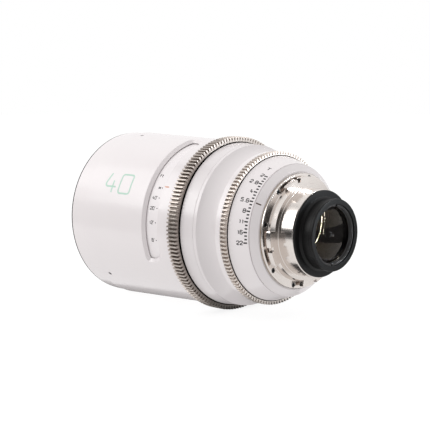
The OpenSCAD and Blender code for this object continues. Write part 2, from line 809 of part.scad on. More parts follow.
module rear_cell() {
    x_collar = mount_barrel_len;
    x_tube = x_collar + rear_collar_t;
    color("black") turned([
        [rear_group_r + fit_gap, x_rear_cell_front], [mount_bore_r, x_rear_cell_front],
        [mount_bore_r, x_collar], [rear_collar_r, x_collar],
        [rear_collar_r, x_tube - edge], [rear_collar_r - edge, x_tube],
        [rear_tube_r + rear_fillet, x_tube], [rear_tube_r, x_tube + rear_fillet],
        [rear_tube_r, rear_reach - rear_rim_len],
        [rear_cell_d / 2, rear_reach - rear_rim_len + edge],
        [rear_cell_d / 2, rear_reach - edge], [rear_cell_d / 2 - edge, rear_reach],
        [rear_glass_r + fit_gap, rear_reach], [rear_glass_r + fit_gap, x_rear_glass],
        [rear_group_r - rear_land_hold, x_rear_glass], [rear_group_r - rear_land_hold, x_rear_land],
        [rear_group_r + fit_gap, x_rear_land]
    ]);
}

module rear_group_middle() {
    color("lightsteelblue") glass(rear_group_r, x_rear_spacer + rear_spacer_w, x_rear_land,
        -rear_group_hollow, rear_group_curve);
}

module rear_group_spacer() {
    color("black") ring(x_rear_spacer, x_rear_spacer + rear_spacer_w,
        rear_group_r - glass_hold, rear_group_r);
}

module rear_group_front() {
    color("lightsteelblue") glass(rear_group_r, x_rear_spacer - rear_group_t, x_rear_spacer,
        rear_group_front_curve, rear_group_curve);
}

module rear_element() {
    color("lightsteelblue") glass(rear_glass_r, x_rear_glass, x_rear_retainer,
        -rear_glass_hollow, rear_glass_curve);
}

module rear_retainer() {
    x1 = rear_reach - rear_recess;
    color("black") difference() {
        turned([
            [rear_glass_r - 1.6, x_rear_retainer], [rear_glass_r, x_rear_retainer],
            [rear_glass_r, x1], [rear_glass_r - 0.9, x1]
        ]);
        for (angle = [-6, 174])
            radial(angle, x1 - 1.6, rear_glass_r - 4) translate([0, -0.7, 0]) cube([3, 1.4, 5]);
    }
}

// Three helical slots in the focus sleeve, cut by a sector that twists along the axis
module helical_slots() {
    per_mm = focus_throw / focus_travel;
    half_h = (follower_r + follower_slack) * 1.01;
    half_turn = half_h * per_mm;
    height = focus_travel + 2 * half_h;
    reach = sleeve_r + 6;
    inner = tube_r - 4;
    start_turn = 180 + per_mm * (height - half_h);
    translate([x_follower + half_h - height, 0, 0]) rotate([0, 90, 0])
        linear_extrude(height = height, twist = height * per_mm,
            slices = ceil(height * per_mm / 9), $fn = 8)
            for (angle = follower_angles) rotate(angle + start_turn)
                polygon(concat(
                    [for (i = [-2 : 2]) polar(reach, half_turn * i / 2)],
                    [for (i = [2 : -1 : -2]) polar(inner, half_turn * i / 2)]));
}

module focus_sleeve() {
    color("silver") difference() {
        ring(x_sleeve_front, x_sleeve_rear, tube_r + run_fit, sleeve_r);
        helical_slots();
        for (angle = screw_angles)
            radial(angle, x_focus_gear_front - ring_screw_setback, tube_r)
                cylinder(r = set_screw_r + fit_gap, h = sleeve_wall + 2);
    }
}

module focus_gear() {
    color("tan") gear_ring(x_focus_gear_front, focus_gear_w, focus_gear_teeth, sleeve_r + fit_gap);
}

module focus_scale_ring() {
    color("white") difference() {
        ring(x_focus_gear_front - drum_len, x_focus_gear_front, sleeve_r + fit_gap, drum_r);
        for (angle = screw_angles)
            radial(angle, x_focus_gear_front - ring_screw_setback, sleeve_r - 1)
                cylinder(r = set_screw_r + fit_gap, h = drum_wall + 3);
    }
}

module focus_ring_screws() {
    color("black") for (angle = screw_angles)
        radial(angle, x_focus_gear_front - ring_screw_setback, tube_r + run_fit + screw_sink)
            cylinder(r = set_screw_r, h = drum_r - tube_r - run_fit - 2 * screw_sink);
}

module focus_cell() {
    seat_r = focus_glass_r + fit_gap;
    land_r = focus_glass_r - glass_hold;
    x_land = x_follower - focus_land / 2;
    color("dimgray") difference() {
        turned([
            [seat_r, x_focus_cell_front], [tube_bore_r - run_fit, x_focus_cell_front],
            [tube_bore_r - run_fit, x_focus_cell_rear], [seat_r, x_focus_cell_rear],
            [seat_r, x_land + focus_land], [land_r, x_land + focus_land], [land_r, x_land],
            [seat_r, x_land]
        ]);
        for (angle = follower_angles)
            radial(angle, x_follower, tube_bore_r - follower_seat - fit_gap)
                cylinder(r = follower_r + fit_gap, h = follower_seat + 2);
    }
}

module focus_element_front() {
    x1 = x_follower - focus_land / 2;
    color("lightsteelblue") glass(focus_glass_r, x1 - focus_glass_t, x1,
        focus_front_curve, -focus_hollow);
}

module focus_element_rear() {
    x0 = x_follower + focus_land / 2;
    color("lightsteelblue") glass(focus_glass_r, x0, x0 + focus_glass_t,
        -focus_hollow, focus_rear_curve);
}

module focus_retainers() {
    color("black") for (x = [x_focus_cell_front, x_focus_cell_rear - focus_retainer_w])
        ring(x, x + focus_retainer_w, focus_glass_r - glass_hold, focus_glass_r);
}

module cam_followers() {
    length = sleeve_r - follower_shy - (tube_bore_r - follower_seat);
    color("goldenrod") for (angle = follower_angles)
        radial(angle, x_follower, tube_bore_r - follower_seat) cylinder(r = follower_r, h = length);
}

module iris_ring() {
    color("whitesmoke") difference() {
        turned([
            [journal_r + run_fit, x_iris_front], [iris_hub_r, x_iris_front],
            [iris_hub_r, x_iris_gear_rear], [scale_front_r - edge, x_iris_gear_rear],
            [scale_front_r, x_iris_gear_rear + edge],
            [scale_rear_r + 0.2, x_rear_seam - seam_gap - 0.2],
            [scale_rear_r, x_rear_seam - seam_gap], [journal_r + run_fit, x_rear_seam - seam_gap]
        ]);
        for (angle = drive_pin_angles)
            radial(angle, x_drive_pin, journal_r - 1)
                cylinder(r = drive_pin_r + fit_gap, h = iris_hub_wall + 3);
    }
}

module iris_band() {
    band_r = iris_tip_r - edge;
    color("whitesmoke") turned([
        [iris_hub_r + fit_gap, x_iris_front], [band_r - edge, x_iris_front],
        [band_r, x_iris_front + edge], [band_r, x_iris_gear_front],
        [iris_hub_r + fit_gap, x_iris_gear_front]
    ]);
}

module iris_gear() {
    color("tan") gear_ring(x_iris_gear_front, iris_gear_w, iris_gear_teeth, iris_hub_r + fit_gap);
}

module iris_drive_pins() {
    inner_r = iris_bore_r - drive_pin_hold;
    color("goldenrod") for (angle = drive_pin_angles)
        radial(angle, x_drive_pin, inner_r)
            cylinder(r = drive_pin_r, h = iris_hub_r - 0.1 - inner_r);
}

// Spiral slot that steers one blade, as the path of its drive pin in the turning actuator
module actuator_slot() {
    steps = 16;
    half_w = blade_pin_r + slot_play;
    end_turn = 2.4;
    span = iris_open_turn + iris_close_turn + 2 * end_turn;
    turns = [for (i = [0 : steps]) iris_open_turn + end_turn - span * i / steps];
    along = [for (t = turns) let (d = slot_point(t - 0.1) - slot_point(t + 0.1)) d / norm(d)];
    polygon(concat(
        [for (i = [0 : steps]) slot_point(turns[i]) + half_w * [-along[i].y, along[i].x]],
        [for (i = [steps : -1 : 0]) slot_point(turns[i]) + half_w * [along[i].y, -along[i].x]]));
}

module iris_actuator() {
    color("goldenrod") difference() {
        plate(x_actuator_front, actuator_t) difference() {
            circle(r = iris_bore_r - run_fit);
            circle(r = actuator_r_in);
            for (k = [1 : blade_count])
                rotate(360 / blade_count * k) actuator_slot();
        }
        for (angle = drive_pin_angles)
            radial(angle, x_drive_pin, iris_bore_r - drive_pin_hold - fit_gap)
                cylinder(r = drive_pin_r + fit_gap, h = 2 * drive_pin_hold);
    }
}

// Outline of a fully open blade whose pivot is at angle 0
module blade_outline() {
    inner_r = aperture_r + 0.6;
    outer_r = pivot_circle_r - 2;
    lug_r = 2.1;
    sweep = 112;
    pivot = [pivot_circle_r, 0];
    pin = polar(lever_r, -lever_angle);
    side = [-(pin - pivot).y, (pin - pivot).x] / norm(pin - pivot);
    difference() {
        circle(r = outer_r);
        circle(r = inner_r);
        polygon(concat([[0, 0]],
            [for (angle = [-6, -60, -120, -180, -215, sweep]) polar(2 * outer_r, angle)]));
    }
    polygon([
        polar(inner_r + lug_r, -5), polar(pivot_circle_r, -4),
        polar(pivot_circle_r, 4), polar(inner_r + lug_r, 8)
    ]);
    translate(pivot) circle(r = lug_r);
    polygon([pivot + side * 1.4, pin + side * 1.1, pin - side * 1.1, pivot - side * 1.4]);
    translate(pin) circle(r = blade_pin_r + 0.6);
}

// One blade at the marked rest setting, with its pivot pin behind it and its drive pin in front
module iris_blade(k) {
    x = x_blades + (k - 1) * blade_pitch;
    pin = drive_pin(blade_rest_swing);
    color("gray") rotate([360 / blade_count * k, 0, 0]) {
        plate(x, blade_t) translate([pivot_circle_r, 0]) rotate(blade_rest_swing)
            translate([-pivot_circle_r, 0]) blade_outline();
        translate([0, pivot_circle_r, 0]) rod(x, x_cartridge_rear - 0.4, blade_pin_r);
        translate([0, pin.x, pin.y]) rod(x_actuator_front + 0.5, x + blade_t, blade_pin_r);
    }
}

front_barrel();
front_ring();
filter_ring();
front_cell();
front_retainer();
front_element();
second_element();
second_retainer();
set_screws();
cylinder_cell();
cylinder_element_front();
cylinder_element_rear();
cylinder_retainers();
main_tube();
joint_screws();
centre_band();
cove_housing();
iris_housing();
relay_cell();
relay_element_front();
relay_spacer();
relay_element_rear();
relay_retainer();
iris_cover();
iris_base_plate();
rear_housing();
mount_shim();
lens_mount();
mount_screws();
rear_cell();
rear_group_front();
rear_group_spacer();
rear_group_middle();
rear_element();
rear_retainer();
focus_sleeve();
focus_gear();
focus_scale_ring();
focus_ring_screws();
focus_cell();
focus_element_front();
focus_element_rear();
focus_retainers();
cam_followers();
iris_ring();
iris_band();
iris_gear();
iris_drive_pins();
iris_actuator();
iris_blade(1);  // iris_blade_1
iris_blade(2);  // iris_blade_2
iris_blade(3);  // iris_blade_3
iris_blade(4);  // iris_blade_4
iris_blade(5);  // iris_blade_5
iris_blade(6);  // iris_blade_6
iris_blade(7);  // iris_blade_7
iris_blade(8);  // iris_blade_8
iris_blade(9);  // iris_blade_9
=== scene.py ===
# %% [markdown]
# # A cinema prime lens, dressed in Blender
# The solids of the lens come from CAD and are loaded as a frame. Each cell below takes one piece or one
# finish of the real lens, says what it is, and builds it in the frame's own place and size. All sizes in
# the cells are millimetres, because that is how a lens drawing gives them.

import json
import math

import bmesh
import bpy
import numpy as np
from mathutils import Matrix, Vector

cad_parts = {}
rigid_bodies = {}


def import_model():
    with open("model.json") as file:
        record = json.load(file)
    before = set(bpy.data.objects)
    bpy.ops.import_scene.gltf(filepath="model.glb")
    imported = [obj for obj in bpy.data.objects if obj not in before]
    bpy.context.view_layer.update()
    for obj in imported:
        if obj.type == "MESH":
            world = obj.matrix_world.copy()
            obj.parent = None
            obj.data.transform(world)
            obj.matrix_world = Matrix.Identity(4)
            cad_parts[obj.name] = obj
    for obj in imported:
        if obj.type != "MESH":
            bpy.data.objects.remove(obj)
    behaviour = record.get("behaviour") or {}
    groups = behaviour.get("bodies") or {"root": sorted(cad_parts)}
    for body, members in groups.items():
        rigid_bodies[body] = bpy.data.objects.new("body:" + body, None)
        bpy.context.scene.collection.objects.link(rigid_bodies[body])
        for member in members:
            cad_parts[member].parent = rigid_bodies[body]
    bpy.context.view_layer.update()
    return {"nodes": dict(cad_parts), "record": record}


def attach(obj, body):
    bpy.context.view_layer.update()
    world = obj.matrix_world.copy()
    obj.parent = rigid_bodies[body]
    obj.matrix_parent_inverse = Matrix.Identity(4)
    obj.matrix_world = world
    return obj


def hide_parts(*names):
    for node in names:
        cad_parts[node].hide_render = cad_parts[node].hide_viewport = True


for leftover in list(bpy.data.objects):
    bpy.data.objects.remove(leftover)
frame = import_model()
MM = 0.001

# %% [markdown]
# ## Places on the lens
# A lens is turned on a lathe, so nearly every piece is a list of radii and places along the axis. The
# axis is X with the camera at +X. Angles are counted from the top towards the viewer's side, -Y, which
# is also how a lens mark is read off when the ring turns.

# %% Shared places
BARREL_REAR, BARREL_FRONT = -67.1, -148.6
BARREL_REAR_R, BARREL_FRONT_R, BARREL_BORE_R = 53.78, 56.48, 52.08
DRUM_R = 51.78
SEGMENTS = 360


def barrel_r(x):
    """Radius of the barrel's outside at a place along the axis."""
    share = (BARREL_REAR - x) / (BARREL_REAR - BARREL_FRONT)
    return BARREL_REAR_R + (BARREL_FRONT_R - BARREL_REAR_R) * share


def on_lens(x, angle, r):
    """Point of the row frame, in metres, for a place, an angle in degrees and a radius."""
    turn = math.radians(angle)
    return Vector((x * MM, -r * math.sin(turn) * MM, r * math.cos(turn) * MM))


print("barrel radius half-way along:", round(barrel_r((BARREL_REAR + BARREL_FRONT) / 2), 2))

# %% [markdown]
# ## Surface effects that several finishes share
# Sprayed paint dries with a very fine orange peel and a slight unevenness of tone. Turned metal keeps
# fine rings from the cutting tool. Both effects could be painted into each material, but then they
# would drift apart, so each is one node group that gives a value and a height.

# %% Paint grain and turning rings as node groups
def feed(tree, node, feeds):
    """Gives a node's sockets, by label or place, another socket or a plain value; colours are RGB."""
    for label, value in feeds.items():
        socket = node.inputs[label]
        if isinstance(value, bpy.types.NodeSocket):
            tree.links.new(value, socket)
        else:
            socket.default_value = (*value, 1) if socket.type == "RGBA" else value


def add_node(tree, kind, feeds, **settings):
    """A new node with its own settings and its sockets fed."""
    made = tree.nodes.new(kind)
    for label, value in settings.items():
        setattr(made, label, value)
    feed(tree, made, feeds)
    return made


def new_tree(name, family, inputs, outputs):
    """A tree with labelled sockets, each given as its kind or as a float's default; gives its two ends."""
    tree = bpy.data.node_groups.new(name, family)
    for in_out, sockets in (("INPUT", inputs), ("OUTPUT", outputs)):
        for label, kind in sockets.items():
            plain = isinstance(kind, float)
            socket_type = "NodeSocket" + ("Float" if plain else kind)
            socket = tree.interface.new_socket(label, in_out=in_out, socket_type=socket_type)
            if plain:
                socket.default_value = kind
    return tree, tree.nodes.new("NodeGroupInput").outputs, tree.nodes.new("NodeGroupOutput")


def math_node(tree, operation, first, second=0.0):
    """A math node fed by sockets or plain numbers; gives its output socket."""
    return add_node(tree, "ShaderNodeMath", {0: first, 1: second}, operation=operation).outputs[0]


def noise_node(tree, vector, scale, detail):
    """A noise texture on a vector; gives its value."""
    feeds = {"Vector": vector, "Scale": scale, "Detail": detail}
    return add_node(tree, "ShaderNodeTexNoise", feeds).outputs["Fac"]


SURFACE_OUTPUTS = {"Tone": "Float", "Height": "Float"}


def paint_grain_group():
    """Orange peel height and a slow drift of tone, both on object coordinates."""
    tree, given, result = new_tree("paint_grain", "ShaderNodeTree",
                                   {"Peel Scale": 1400.0, "Drift Scale": 28.0}, SURFACE_OUTPUTS)
    place = tree.nodes.new("ShaderNodeTexCoord").outputs["Object"]
    feed(tree, result, {"Tone": noise_node(tree, place, given["Drift Scale"], 3.0),
                        "Height": noise_node(tree, place, given["Peel Scale"], 1.0)})
    return tree


def turning_rings_group():
    """Height of fine rings, from noise on the place along the axis and the radius, and smudges of tone."""
    tree, given, result = new_tree("turning_rings", "ShaderNodeTree",
                                   {"Rings": 3000.0, "Smudge Scale": 90.0}, SURFACE_OUTPUTS)
    place = tree.nodes.new("ShaderNodeTexCoord").outputs["Object"]
    split = add_node(tree, "ShaderNodeSeparateXYZ", {0: place}).outputs
    squares = [math_node(tree, "MULTIPLY", split[k], split[k]) for k in (1, 2)]
    radius = math_node(tree, "SQRT", math_node(tree, "ADD", *squares))
    section = add_node(tree, "ShaderNodeCombineXYZ", {0: split[0], 1: radius}).outputs[0]
    feed(tree, result, {"Tone": noise_node(tree, place, given["Smudge Scale"], 4.0),
                        "Height": noise_node(tree, section, given["Rings"], 2.0)})
    return tree


PAINT_GRAIN = paint_grain_group()
TURNING_RINGS = turning_rings_group()
print("shared effects:", PAINT_GRAIN.name, TURNING_RINGS.name)

# %% [markdown]
# ## Finishes
# The outside is satin white paint, the gear rings are champagne anodised, the mount is hard chrome and
# the rear cell is black anodised. Three whites a shade apart, for the barrel, the bands behind it and the
# two cones, stand for light that this simple room doesn't give. Each finish is one Principled shader:
# the group's values move its colour and roughness a little, and a weak bump breaks up reflections the
# way the real surface does.

# %% A finish from one of the shared effects
NOISE_SPAN = (0.3, 0.7)
BUMP_STRENGTH = 0.3


def ramp_colour(tree, value, low, high):
    """Mixes two colours, plain or from sockets, by a value."""
    feeds = {"Factor": value, "A": low, "B": high}
    return add_node(tree, "ShaderNodeMix", feeds, data_type="RGBA").outputs["Result"]


def map_range(tree, value, source, target):
    """Stretches a value from one range to another."""
    labels = ("From Min", "From Max", "To Min", "To Max")
    feeds = {"Value": value, **dict(zip(labels, (*source, *target)))}
    return add_node(tree, "ShaderNodeMapRange", feeds).outputs["Result"]


def blank_finish(name):
    """A new material, its node tree and its Principled shader."""
    material = bpy.data.materials.new(name)
    material.use_nodes = True
    return material, material.node_tree, material.node_tree.nodes["Principled BSDF"]


def effect_outputs(tree, effect):
    """Tone and height of one of the shared effects."""
    outputs = add_node(tree, "ShaderNodeGroup", {}, node_tree=effect).outputs
    return outputs["Tone"], outputs["Height"]


def finish(name, effect, colours, roughness, depth, metallic=0.0, specular=0.5):
    """A material between two tones and two roughness values, its bump as deep as so many millimetres."""
    material, tree, shader = blank_finish(name)
    tone, height = effect_outputs(tree, effect)
    bump = add_node(tree, "ShaderNodeBump", {
        "Strength": BUMP_STRENGTH, "Distance": depth * MM, "Height": height})
    feed(tree, shader, {
        "Base Color": ramp_colour(tree, tone, *colours), "Metallic": metallic,
        "Roughness": map_range(tree, height, NOISE_SPAN, roughness),
        "Specular IOR Level": specular, "Normal": bump.outputs["Normal"]})
    return material


white_paint = finish("white_satin_paint", PAINT_GRAIN, ((0.785, 0.738, 0.742), (0.815, 0.768, 0.772)),
                     (0.20, 0.25), 0.0007)
cone_paint = finish("white_satin_paint_cones", PAINT_GRAIN, ((0.84, 0.79, 0.794), (0.87, 0.82, 0.824)),
                    (0.20, 0.25), 0.0007)
band_paint = finish("white_satin_paint_bands", PAINT_GRAIN, ((0.735, 0.69, 0.694), (0.765, 0.72, 0.724)),
                    (0.20, 0.25), 0.0007)
drum_paint = finish("scale_drum_paint", PAINT_GRAIN, ((0.80, 0.755, 0.76), (0.83, 0.785, 0.79)),
                    (0.38, 0.46), 0.0007)
black_anodised = finish("black_anodised", TURNING_RINGS, ((0.006, 0.006, 0.006), (0.010, 0.0095, 0.0095)),
                        (0.34, 0.46), 0.008, specular=0.16)
grey_lacquer = finish("grey_lacquer", TURNING_RINGS, ((0.040, 0.039, 0.039), (0.055, 0.053, 0.053)),
                      (0.22, 0.30), 0.003)
mount_chrome = finish("mount_chrome", TURNING_RINGS, ((0.68, 0.63, 0.595), (0.73, 0.68, 0.645)),
                      (0.16, 0.21), 0.0006, metallic=1.0)
plain_aluminium = finish("plain_aluminium", TURNING_RINGS, ((0.60, 0.60, 0.61), (0.72, 0.72, 0.73)),
                         (0.28, 0.42), 0.010, metallic=1.0)
brass = finish("turned_brass", TURNING_RINGS, ((0.62, 0.46, 0.21), (0.72, 0.56, 0.28)),
               (0.22, 0.36), 0.008, metallic=1.0)
screw_steel = finish("black_oxide_steel", TURNING_RINGS, ((0.004, 0.004, 0.004), (0.009, 0.0085, 0.008)),
                     (0.38, 0.5), 0.006, metallic=0.2)
blade_steel = finish("blackened_blade_steel", TURNING_RINGS, ((0.035, 0.035, 0.038), (0.06, 0.06, 0.064)),
                     (0.30, 0.45), 0.006, metallic=0.7)
print("finishes so far:", len(bpy.data.materials))

# %% [markdown]
# ## Gear finish
# The gear rings are cut after they are anodised in a champagne tone, then handled all day. The gaps are
# painted darker than the tips, partly for grease and partly as a painted shade where the gaps lie in shadow.
# The slice of gear made further down carries an attribute that is 0 in a gap and 1 on a tip, and one that
# marks the end faces under the teeth, painted black as the shadow in the gap beside the ring. This finish
# reads both.

# %% Champagne gear
# Near-black for the end faces under the teeth: a painted shadow for the gap beside each ring.
END_FACE_SHADOW_BLACK = (0.022, 0.019, 0.017)


def gear_finish(name, tones, roots, roughness):
    """Champagne metal, darker towards the roots of the teeth for grease and painted shade in the gaps, and
    painted black on the end faces as shadow.
    """
    material = finish(name, TURNING_RINGS, tones, roughness, 0.006, metallic=1.0)
    tree = material.node_tree
    base = tree.nodes["Principled BSDF"].inputs["Base Color"]
    # height carries the painted shade in the gaps, end the painted shadow on the end faces.
    height, end = [add_node(tree, "ShaderNodeAttribute", {}, attribute_name=label).outputs["Fac"]
                   for label in ("tooth_height", "end_face_shadow")]
    colour = ramp_colour(tree, height, roots, base.links[0].from_socket)
    tree.links.new(ramp_colour(tree, end, colour, END_FACE_SHADOW_BLACK), base)
    return material


# Both gears have one champagne finish: the focus gear's darker tones and the aperture gear's lighter tones
# with paler roots are painted shade and painted light for where each ring sits in the light.
focus_champagne = gear_finish("champagne_focus_gear", ((0.47, 0.42, 0.385), (0.53, 0.475, 0.435)),
                              (0.27, 0.235, 0.21), (0.34, 0.46))
iris_champagne = gear_finish("champagne_iris_gear", ((0.66, 0.60, 0.555), (0.74, 0.675, 0.625)),
                             (0.60, 0.54, 0.495), (0.47, 0.58))
print(focus_champagne.name, iris_champagne.name, "read tooth_height and end_face_shadow")

# %% [markdown]
# ## Coated glass and printed marks
# Optical glass is clear, and its coating reflects a faint colour. A thin film on the shader gives that
# colour as the real coating does, by interference. The marks are ink: flat and matt, with a slight
# unevenness where the ink is thin.

# %% Glass and inks
def glass_finish(name, film_nm, tint, mirror):
    """Coated clear glass; its tint drifts by a hair, as on a wiped lens, and mirror tints reflections."""
    material, tree, shader = blank_finish(name)
    tone, _ = effect_outputs(tree, PAINT_GRAIN)
    brighter = tuple(min(1.0, c + 0.01) for c in tint)
    feed(tree, shader, {
        "Base Color": ramp_colour(tree, tone, tint, brighter),
        "Roughness": map_range(tree, tone, NOISE_SPAN, (0.010, 0.016)), "Transmission Weight": 1.0,
        "IOR": 1.55, "Thin Film Thickness": film_nm, "Thin Film IOR": 1.25, "Specular Tint": mirror})
    return material


def ink(name, colour):
    """Matt printed ink."""
    darker = tuple(c * 0.85 for c in colour)
    return finish(name, PAINT_GRAIN, (darker, colour), (0.5, 0.65), 0.004)


rear_glass = glass_finish("coated_rear_glass", 70.0, (0.97, 0.975, 0.975), (0.66, 0.72, 0.86))
inner_glass = glass_finish("coated_inner_glass", 130.0, (0.90, 0.91, 0.915), (0.5, 0.57, 0.7))
blue_glass = glass_finish("coated_inner_glass_blue", 160.0, (0.90, 0.91, 0.915), (0.5, 0.57, 0.7))
amber_glass = glass_finish("coated_inner_glass_amber", 112.0, (0.90, 0.91, 0.915), (0.5, 0.57, 0.7))
black_ink = ink("black_ink", (0.03, 0.027, 0.027))
mint_ink = ink("mint_ink", (0.50, 0.72, 0.60))
orange_ink = ink("orange_ink", (0.72, 0.30, 0.16))
brown_ink = ink("brown_ink", (0.10, 0.06, 0.04))
print("all finishes:", [m.name for m in bpy.data.materials])

# %% [markdown]
# ## Every CAD node gets its finish
# The hidden pieces stay as the CAD made them, and so do glass and small parts. They only take the finish
# of their slot in the record, so that the inside looks right through the glass and in the cut-open model.

# %% Finish by slot
SLOT_FINISH = {
    "white_paint": white_paint, "scale_drum": drum_paint, "bronze_gear": focus_champagne,
    "black_anodised": black_anodised, "glass": inner_glass, "plain_aluminium": plain_aluminium,
    "mount_chrome": mount_chrome, "brass": brass, "screw_steel": screw_steel, "blade_steel": blade_steel,
}
slot_of = {part["node"]: part["material_slot"] for part in frame["record"]["subparts"]}
for node, cad in frame["nodes"].items():
    cad.data.materials.clear()
    cad.data.materials.append(SLOT_FINISH[slot_of[node]])
for node, glass in (("rear_element", rear_glass), ("rear_group_middle", blue_glass),
                    ("rear_group_front", amber_glass)):
    frame["nodes"][node].data.materials[0] = glass
print("CAD nodes dressed:", len(frame["nodes"]))

# %% [markdown]
# ## Turning a profile
# A turned piece could be a curve with a Screw modifier, but a plain function gives exact control of each
# corner. Real edges are never sharp: each corner of the profile is rounded by its own small radius, so
# it catches a thin line of light. Weighted normals keep the broad faces flat right up to that edge.

# %% Lathe helpers
NEARLY_STRAIGHT, ARC_STEP = math.radians(87), math.radians(24)
MOST_OF_EDGE = 0.45


def rounded(outline):
    """Replaces each (radius, x, rounding) corner of a closed outline by an arc."""
    points = []
    for i, (r, x, rounding) in enumerate(outline):
        corner = np.array((r, x))
        back = np.array(outline[i - 1][:2]) - corner
        ahead = np.array(outline[(i + 1) % len(outline)][:2]) - corner
        long_back, long_ahead = np.linalg.norm(back), np.linalg.norm(ahead)
        back, ahead = back / long_back, ahead / long_ahead
        half = math.acos(np.clip(back @ ahead, -1, 1)) / 2
        if rounding <= 0 or half > NEARLY_STRAIGHT:
            points.append(corner)
            continue
        cut = min(rounding / math.tan(half), MOST_OF_EDGE * long_back, MOST_OF_EDGE * long_ahead)
        radius = cut * math.tan(half)
        middle = (back + ahead) / np.linalg.norm(back + ahead)
        centre = corner + middle * radius / math.sin(half)
        start, end = corner + back * cut - centre, corner + ahead * cut - centre
        sweep = math.atan2(start[0] * end[1] - start[1] * end[0], start @ end)
        steps = max(2, math.ceil(abs(sweep) / ARC_STEP))
        for k in range(steps + 1):
            turn = sweep * k / steps
            c, s = math.cos(turn), math.sin(turn)
            points.append(centre + (c * start[0] - s * start[1], s * start[0] + c * start[1]))
    return points


def turned_mesh(name, points):
    """Closed mesh of revolution about the axis from a closed list of (radius, x)."""
    turns = np.radians(np.arange(SEGMENTS) * 360 / SEGMENTS)
    profile = np.array(points) * MM
    verts = np.stack([
        np.repeat(profile[:, 1][None], SEGMENTS, 0),
        -np.outer(np.sin(turns), profile[:, 0]),
        np.outer(np.cos(turns), profile[:, 0])], axis=2).reshape(-1, 3)
    count = len(points)
    faces = []
    for j in range(SEGMENTS):
        here, there = j * count, (j + 1) % SEGMENTS * count
        for i in range(count):
            k = (i + 1) % count
            faces.append((here + i, here + k, there + k, there + i))
    mesh = bpy.data.meshes.new(name)
    mesh.from_pydata(verts.tolist(), [], faces)
    return outward(mesh)


def outward(mesh):
    """Merges doubles, points all faces outwards and shades them smooth."""
    build = bmesh.new()
    build.from_mesh(mesh)
    bmesh.ops.remove_doubles(build, verts=build.verts, dist=1e-7)
    bmesh.ops.recalc_face_normals(build, faces=build.faces)
    for face in build.faces:
        face.smooth = True
    build.to_mesh(mesh)
    build.free()
    return mesh


def linked(name, mesh):
    """A new object at the origin with this mesh."""
    made = bpy.data.objects.new(name, mesh)
    bpy.context.scene.collection.objects.link(made)
    return made


def settle(piece):
    """Turns the result of all modifiers into the piece's own plain mesh."""
    graph = bpy.context.evaluated_depsgraph_get()
    mesh = bpy.data.meshes.new_from_object(piece.evaluated_get(graph), preserve_all_data_layers=True,
                                           depsgraph=graph)
    piece.modifiers.clear()
    piece.data = mesh
    return piece


def smooth_broad_faces(piece, sharp=38):
    """Sharp edges by angle, then normals that follow the larger faces."""
    piece.data.set_sharp_from_angle(angle=math.radians(sharp))
    weighted = piece.modifiers.new("broad_faces", "WEIGHTED_NORMAL")
    weighted.keep_sharp = True
    weighted.weight = 80
    return settle(piece)


def dress(piece, body, material, slot, *nodes):
    """Gives a piece its finish and body, and says which CAD nodes it stands for, which are hidden; the slot
    is not used.
    """
    piece.data.materials.clear()
    piece.data.materials.append(material)
    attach(piece, body)
    if nodes:
        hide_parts(*nodes)
    print(piece.name, "rides on", body, "with", len(piece.data.polygons), "faces")
    return piece


def turned_blank(name, outline):
    """A turned piece that waits for cuts or its finish."""
    return linked(name, turned_mesh(name, rounded(outline)))


def turned_piece(node, outline, body="housing", material=None):
    """A turned piece that stands for the CAD node of that profile."""
    piece = smooth_broad_faces(turned_blank(node + "_turned", outline))
    slot = slot_of[node]
    return dress(piece, body, material or SLOT_FINISH[slot], slot, node)


# %% [markdown]
# ## White bands and rings
# Behind the barrel come the fixed band, the hollow cove, the plain band of the aperture ring, the cone
# with the aperture scale and the rear housing. All are painted, so their edges are a little rounder than
# bare metal would be.

# %% White turned pieces
turned_piece("front_ring", [
    (50.5, -161.05, 0.05), (55.6, -161.05, 0.2), (56.0, -160.65, 0.2), (56.0, -148.6, 0.15),
    (51.7, -148.6, 0.05), (51.7, -146.7, 0.05), (50.5, -146.7, 0.05)])
turned_piece("centre_band", [
    (49.08, -58.2, 0.05), (52.18, -58.2, 0.15), (52.58, -57.8, 0.3), (51.68, -47.95, 0.1),
    (51.48, -47.75, 0.05), (49.08, -47.75, 0.05)], material=band_paint)
turned_piece("iris_band", [
    (43.98, -32.4, 0.05), (47.6, -32.4, 0.2), (48.0, -32.0, 0.3), (48.0, -28.2, 0.1), (43.98, -28.2, 0.05)],
    "iris_ring")
turned_piece("iris_ring", [
    (38.05, -32.4, 0.05), (43.95, -32.4, 0.05), (43.95, -24.0, 0.02), (45.2, -24.0, 0.15),
    (45.6, -23.6, 0.3), (41.5, -10.94, 0.12), (41.3, -10.74, 0.08), (38.05, -10.74, 0.05)],
    "iris_ring", cone_paint)
turned_piece("rear_housing", [
    (31.0, -10.44, 0.05), (40.9, -10.44, 0.06), (41.1, -10.24, 0.12), (36.8, -7.0, 0.15),
    (31.0, -7.0, 0.05)], material=cone_paint)


def cove_outline():
    """The cove's outside: a straight rim, then a hollow curve down to its foot."""
    rim, foot, curve = np.array((51.68, -45.1)), np.array((45.98, -32.7)), 22.0
    chord = foot - rim
    length = np.linalg.norm(chord)
    rise = math.sqrt(curve ** 2 - (length / 2) ** 2)
    centre = (rim + foot) / 2 + rise * np.array((chord[1], -chord[0])) / length
    first = math.atan2(*(rim - centre)[::-1])
    last = math.atan2(*(foot - centre)[::-1])
    sweep = (last - first + math.pi) % (2 * math.pi) - math.pi
    turns = [first + sweep * k / 24 for k in range(1, 24)]
    hollow = [(*(centre + curve * np.array((math.cos(t), math.sin(t)))), 0) for t in turns]
    return [(49.08, -47.75, 0.05), (51.48, -47.75, 0.05), (51.68, -47.55, 0.1), (*rim, 0.25), *hollow,
            (*foot, 0.12), (39.0, -32.7, 0.05), (39.0, -36.0, 0.05), (43.48, -36.0, 0.05),
            (43.48, -46.5, 0.05), (49.08, -46.5, 0.05)]


